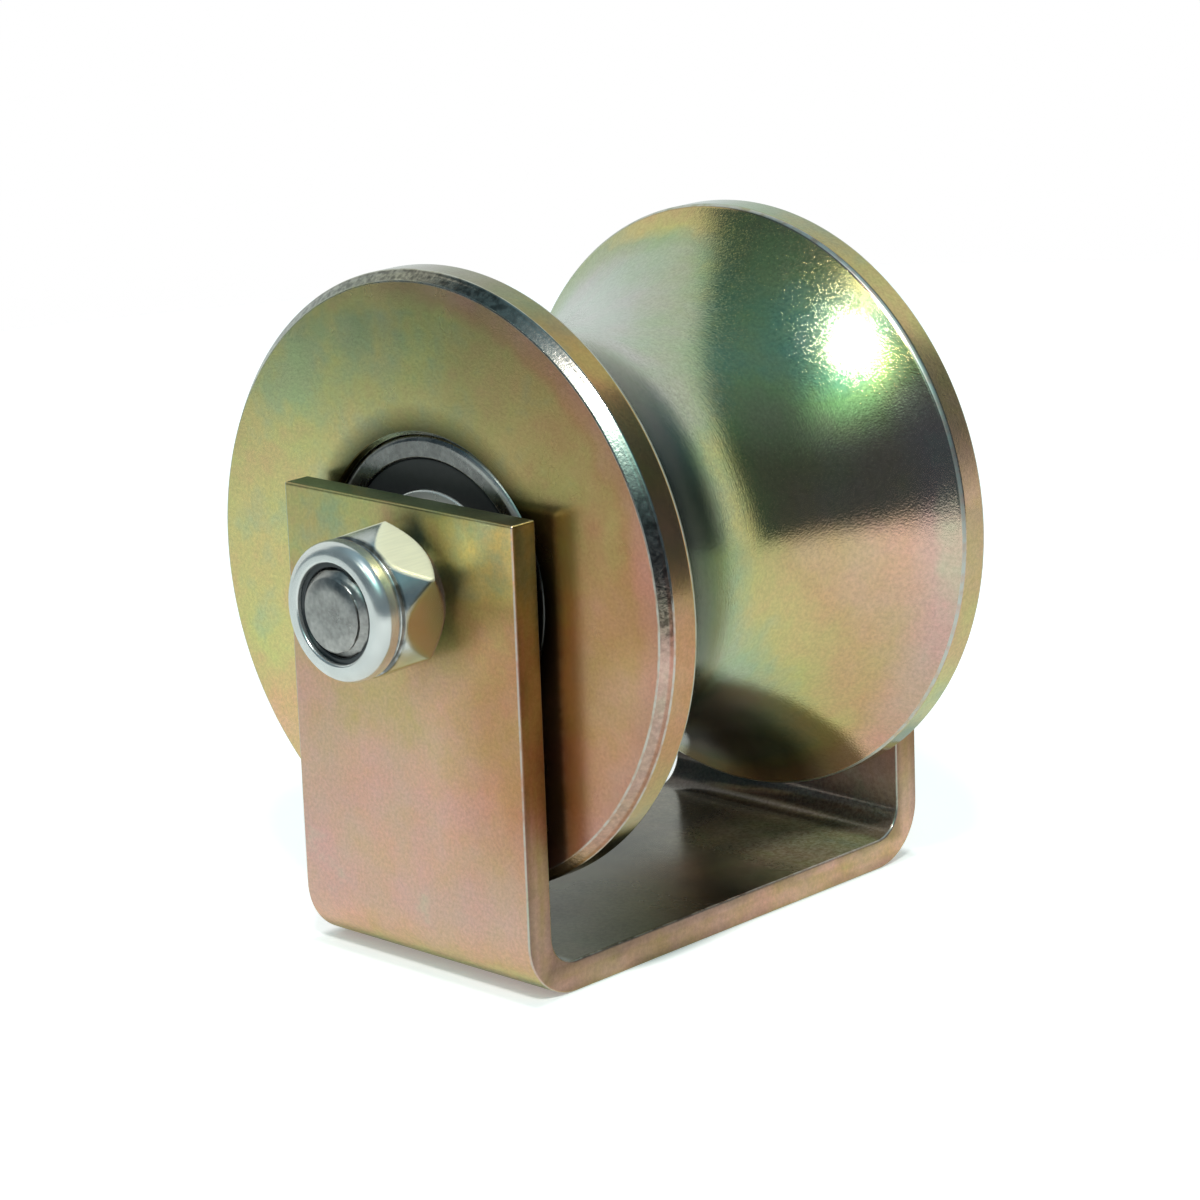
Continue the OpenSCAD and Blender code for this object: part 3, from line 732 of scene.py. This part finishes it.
def nut_zinc():
    """Bright zinc on the lock nut. The hexagon is brushed along the axle; its upper flats are yellow zinc
    painted lighter, partly painted light, and less metallic so that the lamp lights them, its lower flats are
    painted brown as painted shade, and the neck behind the collar is painted dark as painted shade."""
    finish = Finish("bright_zinc")
    tint = settings("guide_colours")
    size = settings("guide_fasteners")
    y = finish.xyz()[1]
    top = EAR_NEAR - size.nut_hex_h
    hexagon = y.over(-0.2, 0.2, past=top)

    def flat(turn):
        """1 on the flat at this angle from the nut's turned corner, and 0 off it."""
        angle = size.nut_turn + math.radians(turn)
        way = (math.cos(angle), 0.0, math.sin(angle))
        outward = finish.measure("DOT_PRODUCT", finish.place, way) - AXLE_Z * way[2]
        return outward.over(-0.30, -0.12, past=size.flats / 2)

    # Painted light and shade: the upper flats get the lighter yellow zinc and the lower flats the darker
    # brown
    upper = hexagon * flat(30).most(flat(90))
    lower = hexagon * flat(210).most(flat(270), flat(330))
    cloud = finish.noise(260, detail=3)
    shade = finish.mix(cloud.spread(0.35, 0.65), [0.88 * c for c in tint.zinc], tint.zinc)
    shade = finish.mix(upper, shade, tint.lit_yellow_zinc)
    shade = finish.mix(lower, shade, tint.shaded_brown_zinc)
    brushed = finish.vector("MULTIPLY", finish.place, (1.0, 0.06, 1.0))
    lines = finish.noise(2600, place=brushed)
    shade = finish.scaled(shade, lines.spread(0.40, 0.60, 0.95, 1), share=hexagon)
    # Painted shade in the neck between the hexagon and the collar
    neck = y.over(-1.5, -1.2, past=top) * y.over(0.1, 0.5, 1, 0, past=top)
    neck = neck * finish.noise(420).spread(0.40, 0.60, 0.25, 0.85)
    shade = finish.mix(neck, shade, tint.dark_band)
    height = lines * 0.004 + finish.noise(300, detail=1) * 0.024
    return finish.shade(
        Base_Color=shade, Metallic=hexagon.between(0.82, 0.97) - upper * 0.90,
        Roughness=cloud.spread(0.3, 0.7, 0.18, 0.27), Normal=finish.bump(height, MM),
    )


def soft_black(name, tone, roughness, grain_scale, grain_depth):
    """Black rubber or nylon with a fine grain."""
    finish = Finish(name)
    grain = finish.noise(grain_scale, detail=3)
    lighter = [min(1.0, 1.7 * c) for c in tone]
    shade = finish.mix(grain, tone, lighter)
    return finish.shade(Base_Color=shade, Roughness=roughness, Normal=finish.bump(grain, grain_depth))


def wheel_outline():
    """Section of the wheel, as radius and place along Y: two bearing seats, the hub bore, chamfered rims
    and a groove that is an arc of the groove's radius about a circle outside the wheel."""
    size = settings("guide_wheel")
    half_w = WHEEL_W / 2
    seat_l = BEARING_W + BEARING_RECESS
    centre_r = size.waist_r + size.groove_r
    reach = math.sqrt(size.groove_r ** 2 - (centre_r - WHEEL_R) ** 2)
    slope = math.asin(reach / size.groove_r)
    sweep = math.asin((reach - size.lip_break * math.cos(slope) / 2) / size.groove_r)
    side = [
        (BEARING_R, -half_w + seat_l), (BEARING_R, -half_w + size.seat_chamfer),
        (BEARING_R + size.seat_chamfer, -half_w), (WHEEL_R - size.chamfer_h, -half_w),
        (WHEEL_R, -half_w + size.chamfer_w), (WHEEL_R, -reach - size.lip_break / 2),
    ]
    edge, lip_round = size.edge_round, 1.3 * size.lip_break
    side_radii = [0.3 * edge, edge, edge, edge, edge, lip_round]
    turn = np.linspace(-sweep, sweep, 90)
    groove = np.stack([centre_r - size.groove_r * np.cos(turn), size.groove_r * np.sin(turn)], 1)
    groove_radii = [lip_round] + [0.0] * (len(groove) - 2) + [lip_round]
    other = [(r, -y) for r, y in reversed(side)]
    hub = [(size.hub_r, half_w - seat_l), (size.hub_r, -half_w + seat_l)]
    corners = np.concatenate([side, groove, other, hub])
    radii = side_radii + groove_radii + side_radii[::-1] + [edge, edge]
    return rounded_outline(corners, radii) + (0, WHEEL_Y)


def shoulder_radius(outward):
    """Radius of the shoulders beside the race: of the outer ring for 1 and of the inner ring for -1."""
    size = settings("guide_bearings")
    return (BEARING_R + size.bore_r) / 2 + outward * size.shoulder_gap


def race_arc(outward):
    """A ring's race, a circular arc a little wider than a ball, from one shoulder to the other. Outward is
    1 for the outer ring and -1 for the inner one, whose race runs the other way."""
    size = settings("guide_bearings")
    race_r = 1.04 * size.ball_r
    centre_r = (BEARING_R + size.bore_r) / 2 + outward * (size.ball_r + size.ball_gap - race_r)
    half = math.acos(outward * (shoulder_radius(outward) - centre_r) / race_r)
    turn = np.linspace(-outward * half, outward * half, 24)
    return np.stack([centre_r + outward * race_r * np.cos(turn), BEARING_W / 2 + race_r * np.sin(turn)], 1)


def outer_ring_outline():
    """The outer ring's section: at both ends its face, its mouth and the seal's groove, with the race
    between the shoulders."""
    size = settings("guide_bearings")
    shoulder = shoulder_radius(1)
    mouth = shoulder + size.mouth_step
    bead = mouth + 0.4 * MM
    race = race_arc(1)
    back_l = size.seal_set_in + size.seal_t + 0.05 * MM
    end = [(mouth, 0), (mouth, size.mouth_l), (bead, size.mouth_l), (bead, back_l), (shoulder, back_l)]
    far_end = [(r, BEARING_W - y) for r, y in reversed(end)]
    corners = np.concatenate([end, race, far_end, [(BEARING_R, BEARING_W), (BEARING_R, 0)]])
    ends = [0.2 * MM] + [0.08 * MM] * 4
    return rounded_outline(corners, ends + [0.0] * len(race) + ends[::-1] + [size.corner, size.corner])


def inner_ring_outline():
    """The inner ring's section, with its race between the shoulders."""
    size = settings("guide_bearings")
    shoulder = shoulder_radius(-1)
    race = race_arc(-1)
    bore = [(size.bore_r, 0), (size.bore_r, BEARING_W), (shoulder, BEARING_W)]
    corners = np.concatenate([bore, race, [(shoulder, 0)]])
    corner = 0.6 * size.corner
    return rounded_outline(corners, [corner, corner, 0.5 * corner] + [0.0] * len(race) + [0.5 * corner])


def seal_outline():
    """The seal's section: a flat face, a lip by the inner ring, a thin web, a rim and a bead under it."""
    size = settings("guide_bearings")
    lip = shoulder_radius(-1) + 0.08 * MM
    lip_out = lip + 1.2 * MM
    shoulder = shoulder_radius(1)
    rim = shoulder + size.mouth_step - 0.2 * MM
    bead = rim + 0.55 * MM
    top, bottom = size.seal_set_in, size.seal_set_in + size.seal_t
    web_bottom = top + 0.6 * size.seal_t
    corners = [
        (lip, bottom), (lip, top), (rim, top), (rim, size.mouth_l), (bead, size.mouth_l), (bead, bottom),
        (shoulder, bottom), (shoulder - 0.3 * MM, web_bottom), (lip_out, web_bottom), (lip_out, bottom),
    ]
    return rounded_outline(corners, [0.12 * MM] * 3 + [0.06 * MM] * 7, steps=4)


def spacer_outline(thickness):
    """A side spacer's section: a flange against the ear and a spigot in the inner ring's bore."""
    size = settings("guide_fasteners")
    spigot_r = settings("guide_bearings").bore_r - 0.02 * MM
    bore_r = size.bolt_r + 0.1 * MM
    end = thickness + size.spigot_l
    corners = [
        (bore_r, 0), (size.spacer_r, 0), (size.spacer_r, thickness), (spigot_r, thickness),
        (spigot_r, end), (bore_r, end),
    ]
    return rounded_outline(corners, [0.1 * MM, 0.3 * MM, 0.3 * MM, 0.05 * MM, 0.4 * MM, 0.1 * MM])


def strip_path(width, height, thickness, bend_r):
    """Middle line of the bent strip in the YZ plane, from the near ear's top to the far ear's top, with its
    direction: straight ears and base, joined by quarter circles."""
    middle = thickness / 2
    turn_r = bend_r + middle
    half = width / 2 - middle
    quarter = np.linspace(0, math.pi / 2, 25)[:, None]
    near = np.hstack([-half + turn_r - turn_r * np.cos(quarter), middle + turn_r - turn_r * np.sin(quarter)])
    bend_way = np.hstack([np.sin(quarter), -np.cos(quarter)])
    ear = np.array([[-half, height], [-half, middle + turn_r + SUPPORT]])
    base = np.array([[-half + turn_r + SUPPORT, middle], [half - turn_r - SUPPORT, middle]])
    points = np.concatenate([ear, near, base, near[::-1] * (-1, 1), ear[::-1] * (-1, 1)])
    down, level = [[0.0, -1.0]] * 2, [[1.0, 0.0]] * 2
    ways = np.concatenate([down, bend_way, level, bend_way[::-1] * (1, -1), -np.array(down)])
    return points, ways


def swept_strip(name):
    """The bent strip: a rectangle with rounded corners, carried along the middle line of the bends. At each
    end the section shrinks along a quarter circle, which rounds the ends."""
    size = settings("guide_bracket")
    strip_w = BRACKET_HIGH.x - BRACKET_LOW.x
    edge = size.edge_round
    points, ways = strip_path(EAR_FAR - EAR_NEAR, STRIP_Z, size.strip_t, size.bend_r)
    turn = np.linspace(0, math.pi / 2, 7)
    inset = edge * (1 - np.cos(turn))
    drop = edge * (1 - np.sin(turn))
    rows_from = [points[0] + ways[0] * d for d in drop[::-1]]
    rows_to = [points[-1] - ways[-1] * d for d in drop]
    rows_from.append(points[0] + ways[0] * (edge + SUPPORT))
    rows_to.insert(0, points[-1] - ways[-1] * (edge + SUPPORT))
    middle = np.concatenate([rows_from, points[1:-1], rows_to])
    heading = np.concatenate([[ways[0]] * len(rows_from), ways[1:-1], [ways[-1]] * len(rows_to)])
    shrink = np.concatenate([inset[::-1], [0], np.zeros(len(points) - 2), [0], inset])
    rows = []
    for (y, z), (wy, wz), less in zip(middle, heading, shrink):
        half_w, half_t = strip_w / 2 - less, size.strip_t / 2 - less
        corners = [(-half_w, -half_t), (half_w, -half_t), (half_w, half_t), (-half_w, half_t)]
        across, out = rounded_outline(corners, [max(edge - less, 1e-6)] * 4).T
        rows.append(np.stack([across, y + out * wz, z - out * wy], 1))
    return grid_piece(name, np.stack(rows), caps=True)


def drill(piece, cutter):
    """Takes the cutter away from the piece and marks the sharp edges."""
    cut = piece.modifiers.new("holes", "BOOLEAN")
    cut.object = cutter
    cut.operation = "DIFFERENCE"
    cut.solver = "EXACT"
    bpy.context.view_layer.update()
    graph = bpy.context.evaluated_depsgraph_get()
    drilled = bpy.data.meshes.new_from_object(piece.evaluated_get(graph))
    piece.modifiers.clear()
    piece.data = drilled
    bpy.data.objects.remove(cutter)
    drilled.set_sharp_from_angle(angle=STRIP_CREASE)


def hexagon_angles(per_side=18):
    """Angles around a hexagon, in one row, with more of them at its corners."""
    even = np.linspace(-1, 1, per_side + 1)
    bunched = np.sign(even) * (1 - (1 - np.abs(even)) ** 1.7)
    side = bunched[:-1] * math.pi / 6
    return np.concatenate([side + k * math.pi / 3 for k in range(6)])[None]


def hexagon_radius(angle, flats, corner_round):
    """Distance from the middle of a hexagon to its edge: half the flats over the cosine of the angle from
    the nearest flat's middle, and near a corner the distance to a small circle tangent to both flats."""
    from_flat = np.abs((angle + math.pi / 6) % (math.pi / 3) - math.pi / 6)
    flat = flats / 2 / np.cos(from_flat)
    centre = (flats / 2 - corner_round) / math.cos(math.pi / 6)
    from_corner = math.pi / 6 - from_flat
    inside = np.maximum(corner_round ** 2 - (centre * np.sin(from_corner)) ** 2, 0)
    corner = centre * np.cos(from_corner) + np.sqrt(inside)
    tangent = math.atan2(centre * math.sin(math.pi / 6), flats / 2)
    return np.where(from_flat > tangent, corner, flat)


def smooth_least(a, b, width):
    """The smaller of two numbers, blended over the given width where they are close."""
    near = np.clip(0.5 + (b - a) / (2 * width), 0, 1)
    return b * (1 - near) + a * near - width * near * (1 - near)


def turned_hexagon(angle, cone_r):
    """Radius of a hexagon that is turned down at its ends: the smaller of the hexagon's and the cone's,
    blended over a narrow edge. The angles are one row, and the cone's radii one column."""
    size = settings("guide_fasteners")
    return smooth_least(hexagon_radius(angle, size.flats, size.corner_round), cone_r, 0.12 * MM)


def nut_points():
    """The lock nut as one closed grid. Up to the hexagon's top the radius is that of a hexagon turned to a
    cone at both ends; above it follow the neck, the crimped collar with its rounded lip, the window, the
    nylon ring's pocket and the bore."""
    size = settings("guide_fasteners")
    nut_h = EAR_NEAR - NUT_LOW.y
    top, peak = size.nut_hex_h, size.nut_peak_h
    corner_r = size.flats / math.sqrt(3)
    seat_r = size.flats / 2 - 0.85 * MM
    front_r = size.flats / 2 - 0.06 * MM
    angle = hexagon_angles()
    heights = np.concatenate([np.linspace(0, top, 90), peak + np.linspace(-0.3, 0.3, 5) * MM])
    heights = np.unique(heights)[:, None]
    low = seat_r + (corner_r - seat_r) * heights / peak
    high = corner_r + (front_r - corner_r) * (heights - peak) / (top - peak)
    hexagon = turned_hexagon(angle, np.minimum(low, high))
    neck_r = size.collar_r - 0.7 * MM
    neck_top = top + 1.1 * MM
    pocket_r = size.collar_r - size.pocket_wall
    lip_bottom = nut_h - size.lip_t
    bore_r = size.bolt_r + 0.05 * MM
    corners = [
        (front_r, top), (neck_r, top + 0.25 * MM), (neck_r, neck_top), (size.collar_r, neck_top + 0.15 * MM),
        (size.collar_r, nut_h), (size.window_r, nut_h), (size.window_r, lip_bottom), (pocket_r, lip_bottom),
        (pocket_r, top), (bore_r, top), (bore_r, 0.0), (seat_r, 0.0),
    ]
    small = 0.12 * MM
    radii = [0.0, 0.2 * MM, 0.2 * MM, 0.4 * MM, size.collar_round, 0.4 * MM,
             small, small, small, small, 0.3 * MM, 0.0]
    above = rounded_outline(corners, radii, steps=10)[1:-1]
    radius = np.concatenate([hexagon, above[:, :1] + 0 * angle])
    along = EAR_NEAR - np.concatenate([heights, above[:, 1:]])
    return turned(radius, along, angle + size.nut_turn - math.pi / 6)


def bolt_points():
    """The bolt as one grid, from the pole on its head to the pole on its end. The head is a hexagon turned
    to a cone on top. The thread's radius falls from the crest by a clipped triangle wave of the place
    along the bolt less the turn around it, and the chamfer cuts it at the end."""
    size = settings("guide_fasteners")
    angle = hexagon_angles(per_side=20)
    end_l = EAR_FAR - BOLT_LOW.y
    face_r = size.flats / 2 - 0.5 * MM
    washer_r = size.flats / 2 - 0.6 * MM
    head = np.linspace(-size.head_h, -0.5 * MM, 40)[:, None]
    head_radius = turned_hexagon(angle, face_r + (head + size.head_h) / math.tan(math.radians(30)))
    shank_end = end_l - size.thread_l
    face = np.array([[0.0, -size.head_h], [face_r - 0.3 * MM, -size.head_h]])
    shank = np.array([
        [washer_r, -0.5 * MM], [washer_r, 0.0], [size.bolt_r, 0.0], [size.bolt_r, 0.1 * MM],
        [size.bolt_r, shank_end - size.pitch],
    ])
    thread = np.arange(shank_end, end_l - 0.02 * MM, size.pitch / 14)[:, None]
    wave = (thread / size.pitch - angle / (2 * math.pi)) % 1.0
    crest, flank, thread_depth = 0.125, 0.62, 0.61 * size.pitch
    cut = np.clip((1 - np.abs(2 * wave - 1) - crest) / flank, 0, 1)
    depth = thread_depth * np.clip((thread - shank_end) / size.pitch, 0, 1)
    end_r = size.bolt_r - size.bolt_chamfer
    thread_radius = smooth_least(size.bolt_r - depth * cut, end_r + (end_l - thread), 0.08 * MM)
    end = np.array([[end_r - 0.1 * MM, end_l], [end_r * 0.6, end_l], [0.0, end_l]])
    parts = (face[:, :1], head_radius, shank[:, :1], thread_radius, end[:, :1])
    radius = np.concatenate([part + 0 * angle for part in parts])
    along = np.concatenate([face[:, 1:], head, shank[:, 1:], thread, end[:, 1:]])
    return turned(radius, EAR_FAR - along, angle)


class PieceOperator:
    """What the operators of this file share."""

    bl_options = {"REGISTER", "UNDO"}


class GUIDE_OT_wheel(PieceOperator, bpy.types.Operator):
    """Make the turned wheel"""

    bl_idname = "guide.wheel"
    bl_label = "Turned wheel"

    def execute(self, context):
        piece = revolve("turned_wheel", wheel_outline(), settings("guide_wheel").around)
        give(piece, turned_plating(), "wheel", "wheel")
        return {"FINISHED"}


class GUIDE_OT_bracket(PieceOperator, bpy.types.Operator):
    """Make the bent bracket with its two bolt holes"""

    bl_idname = "guide.bracket"
    bl_label = "Bent bracket"

    def execute(self, context):
        piece = swept_strip("bent_bracket")
        hole_r = settings("guide_bracket").hole_r
        reach = 2 * EAR_FAR
        through = np.array([[0.0, -reach], [hole_r, -reach], [hole_r, reach], [0.0, reach]])
        drill(piece, revolve("hole_cutter", through, HOLE_AROUND, closed=False))
        give(piece, strip_plating(), "bracket", "bracket")
        return {"FINISHED"}


class GUIDE_OT_bearings(PieceOperator, bpy.types.Operator):
    """Make the rings and seals of both bearings that can be seen from outside"""

    bl_idname = "guide.bearings"
    bl_label = "Sealed bearings"

    def execute(self, context):
        tint = settings("guide_colours")
        # Radii of the rubbed inner edge and of the outer rim with its painted highlight and shade
        rubbed_and_lit_r = (15.5 * MM, BEARING_R - 1.4 * MM)
        steel = plain_metal("ring_steel", tint.ring, 0.22, 0.32, contrast=1.6, bright=rubbed_and_lit_r)
        rubber = soft_black("seal_rubber", tint.rubber, 0.45, 900, 0.01 * MM)
        pieces = (
            ("outer_ring", outer_ring_outline(), steel, "wheel", "ring_steel"),
            ("inner_ring", inner_ring_outline(), steel, "bracket", "ring_steel"),
            ("front_seal", seal_outline(), rubber, "wheel", "seal_rubber"),
        )
        for side, face_y, outward in (("near", NEAR_RING_LOW.y, -1), ("far", FAR_RING_HIGH.y, 1)):
            for name, outline, material, body, slot in pieces:
                placed = outline * (1, -outward) + (0, face_y)
                piece = revolve(f"{side}_{name}_turned", placed, RING_AROUND)
                give(piece, material, body, f"{side}_{name}")
        return {"FINISHED"}


class GUIDE_OT_spacers(PieceOperator, bpy.types.Operator):
    """Make the two side spacers"""

    bl_idname = "guide.spacers"
    bl_label = "Spacers"

    def execute(self, context):
        steel = plain_metal("spacer_steel", settings("guide_colours").spacer, 0.3, 0.42)
        near = spacer_outline(NEAR_RING_LOW.y - NEAR_SPACER_LOW.y) + (0, NEAR_SPACER_LOW.y)
        far = spacer_outline(FAR_SPACER_HIGH.y - FAR_RING_HIGH.y) * (1, -1) + (0, FAR_SPACER_HIGH.y)
        for side, outline in (("near", near), ("far", far)):
            piece = revolve(f"{side}_spacer_turned", outline, SMALL_AROUND)
            give(piece, steel, "bracket", f"{side}_spacer")
        return {"FINISHED"}


class GUIDE_OT_fasteners(PieceOperator, bpy.types.Operator):
    """Make the bolt and the lock nut with its nylon ring"""

    bl_idname = "guide.fasteners"
    bl_label = "Bolt and lock nut"

    def execute(self, context):
        tint = settings("guide_colours")
        size = settings("guide_fasteners")
        nut = grid_piece("lock_nut", nut_points(), close_rows=True)
        give(nut, nut_zinc(), "bracket", "nut_body")
        bolt = grid_piece("threaded_bolt", bolt_points())
        steel = plain_metal("bolt_steel", tint.bolt, 0.26, 0.38, 0.02 * MM, contrast=1.6)
        give(bolt, steel, "bracket", "bolt")
        for piece in (nut, bolt):
            piece.data.set_sharp_from_angle(angle=HEXAGON_CREASE)
        outer, front = size.collar_r - size.pocket_wall, NUT_LOW.y + size.lip_t
        back = EAR_NEAR - size.nut_hex_h
        corners = [(size.bolt_r, back), (outer, back), (outer, front), (size.bolt_r, front)]
        ring = revolve("nylon_ring", rounded_outline(corners, [0.1 * MM] * 3 + [0.25 * MM]), SMALL_AROUND)
        nylon = soft_black("nylon", tint.nylon, 0.22, 1200, 0.006 * MM)
        give(ring, nylon, "bracket", "nut_insert")
        return {"FINISHED"}


class GUIDE_OT_inside(PieceOperator, bpy.types.Operator):
    """Give the pieces inside the bearings and the hub their finishes"""

    bl_idname = "guide.inside"
    bl_label = "Inner pieces"

    def execute(self, context):
        tint = settings("guide_colours")
        cage = plain_metal("pressed_steel", tint.cage, 0.25, 0.35)
        finishes = {
            "balls": plain_metal("polished_steel", tint.ball, 0.05, 0.08),
            "cage_front": cage, "cage_back": cage, "cage_rivets": cage,
            "back_seal": bpy.data.materials["seal_rubber"],
        }
        for side in ("near", "far"):
            for name, material in finishes.items():
                paint(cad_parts[f"{side}_{name}"], material)
        paint(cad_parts["inner_sleeve"], bpy.data.materials["spacer_steel"])
        return {"FINISHED"}


class GUIDE_OT_stage(PieceOperator, bpy.types.Operator):
    """Make the camera, the lamp, the table and the surroundings"""

    bl_idname = "guide.stage"
    bl_label = "Stage"

    def execute(self, context):
        place_camera()
        place_lamp()
        lay_table()
        surround()
        context.scene.view_settings.view_transform = "Standard"
        return {"FINISHED"}


def place_camera():
    """A camera that looks at its aim from an azimuth and an elevation, turned about its own axis."""
    stage = settings("guide_stage")
    side, top, back = sight(stage.azimuth, stage.elevation, stage.roll)
    turn = Matrix((side, top, back)).transposed().to_4x4()
    data = bpy.data.cameras.new("camera")
    data.lens = stage.lens
    data.sensor_width = 36.0
    data.clip_start = 0.01
    camera = add_object("camera", data)
    camera.matrix_world = Matrix.Translation(Vector(stage.aim) + back * stage.distance) @ turn
    bpy.context.scene.camera = camera


def place_lamp():
    """A wide soft lamp that faces the wheel."""
    stage = settings("guide_stage")
    way = sight(stage.lamp_azimuth, stage.lamp_elevation)[2]
    data = bpy.data.lights.new("softbox", "AREA")
    data.shape = "RECTANGLE"
    data.size = stage.lamp_w
    data.size_y = stage.lamp_h
    data.energy = stage.lamp_power
    lamp = add_object("softbox", data)
    lamp.location = Vector((0, 0, AXLE_Z)) + way * stage.lamp_distance
    lamp.rotation_euler = way.to_track_quat("Z", "Y").to_euler()


def lay_table():
    """A round pale table. The camera sees it as white wherever the object's shadow doesn't fall, and under
    the bracket its brightness is lowered by a painted shadow."""
    stage = settings("guide_stage")
    angle = np.linspace(0, 2 * math.pi, 96, endpoint=False)
    radius = np.array([0.0, 0.25, 0.5, 1.0])[:, None] * stage.table_r
    flat = np.stack([stage.table_x + radius * np.cos(angle), stage.table_y + radius * np.sin(angle),
                     0 * radius * angle], -1)
    table = grid_piece("table", flat)
    if table.data.polygons[0].normal.z < 0:
        table.data.flip_normals()
    finish = Finish("table")
    x, y = finish.xyz()[:2]
    # Painted shadow: the table sends less light to the camera under the bracket
    under = abs(x).over(0, 2, 0.8, 0, past=STRIP_X) * abs(y).over(-1, 1.5, 1, 0, past=EAR_FAR)
    seen = finish.value("ShaderNodeLightPath", output="Is Camera Ray")
    material = finish.shade(
        Base_Color=(*stage.table_colour, 1.0), Roughness=0.9, Specular_IOR_Level=0.0,
        Emission_Color=(1.0, 1.0, 1.0, 1.0), Emission_Strength=seen * ((1 - under) * 0.50) + 0.14,
    )
    material.cycles.emission_sampling = "NONE"
    paint(table, material)


def surround():
    """The surroundings: pale behind the object, a dim room on the camera's side with a lighter ceiling, the
    lamp's halo, a glow round it and a window beside it, and white to the camera."""
    stage = settings("guide_stage")
    world = bpy.data.worlds.new("surroundings")
    world.use_nodes = True
    bpy.context.scene.world = world
    sky = Surroundings(world)
    front = sky.along((0.65, -0.65, 0.39)) + 0.05
    beside = sky.along((0.0, -1.0, 0.0)) - 0.45
    dim = front.most(beside).spread(-0.03, 0.03)
    rightward = sky.along((1.0, 0.0, 0.0)).spread(-0.5, 0.1, 0.3, 1)
    overhead = sky.along((0.0, 0.0, 1.0)).spread(0.45, 0.95) * rightward
    lights = (
        (overhead, 1.0, stage.ceiling),
        (sky.lobe(48, 46, 0.40, 0.22, 1.3), stage.glow_light, stage.glow),
        (sky.lobe(42, 53, 0.10, 0.07, 1.2, tilt=10), stage.halo_light, stage.halo),
        (sky.lobe(6, 45, 0.09, 0.09, 1.4), stage.window_light, stage.window),
    )
    room = stage.room
    for share, strength, shade in lights:
        inputs = {0: [c * strength for c in shade], "Scale": share}
        lit = sky.node("ShaderNodeVectorMath", inputs, operation="SCALE").outputs["Vector"]
        room = sky.mix(1.0, room, lit, "ADD")
    seen = sky.mix(dim, stage.backdrop, room)
    camera_ray = sky.value("ShaderNodeLightPath", output="Is Camera Ray")
    sky.set(world.node_tree.nodes["Background"].inputs["Color"], sky.mix(camera_ray, seen, (1.0, 1.0, 1.0)))


class GUIDE_PT_panel(bpy.types.Panel):
    """Lists the guide wheel's pieces"""

    bl_idname = "GUIDE_PT_panel"
    bl_label = "Guide Wheel"
    bl_space_type = "VIEW_3D"
    bl_region_type = "UI"
    bl_category = "Guide Wheel"

    def draw(self, context):
        for operator in OPERATORS:
            self.layout.operator(operator.bl_idname)
        for group in GROUPS:
            box = self.layout.box()
            box.label(text=group.replace("_", " ").capitalize())
            values = getattr(context.scene, group)
            for name in values.__annotations__:
                box.prop(values, name)


GROUPS = {
    "guide_wheel": GuideWheelSizes,
    "guide_bracket": BracketSizes,
    "guide_bearings": BearingSizes,
    "guide_fasteners": FastenerSizes,
    "guide_colours": FinishColours,
    "guide_stage": StageSettings,
}

OPERATORS = (
    GUIDE_OT_wheel, GUIDE_OT_bracket, GUIDE_OT_bearings, GUIDE_OT_spacers, GUIDE_OT_fasteners,
    GUIDE_OT_inside, GUIDE_OT_stage,
)


def register():
    """Registers the classes and puts the property groups on the scene."""
    for name, group in GROUPS.items():
        bpy.utils.register_class(group)
        setattr(bpy.types.Scene, name, PointerProperty(type=group))
    for operator in OPERATORS:
        bpy.utils.register_class(operator)
    bpy.utils.register_class(GUIDE_PT_panel)


def unregister():
    """Takes the classes and property groups away again."""
    bpy.utils.unregister_class(GUIDE_PT_panel)
    for operator in reversed(OPERATORS):
        bpy.utils.unregister_class(operator)
    for name, group in reversed(GROUPS.items()):
        delattr(bpy.types.Scene, name)
        bpy.utils.unregister_class(group)


def main():
    """Builds every piece and the stage."""
    register()
    for operator in OPERATORS:
        area, name = operator.bl_idname.split(".")
        getattr(getattr(bpy.ops, area), name)()


if __name__ == "__main__":
    main()
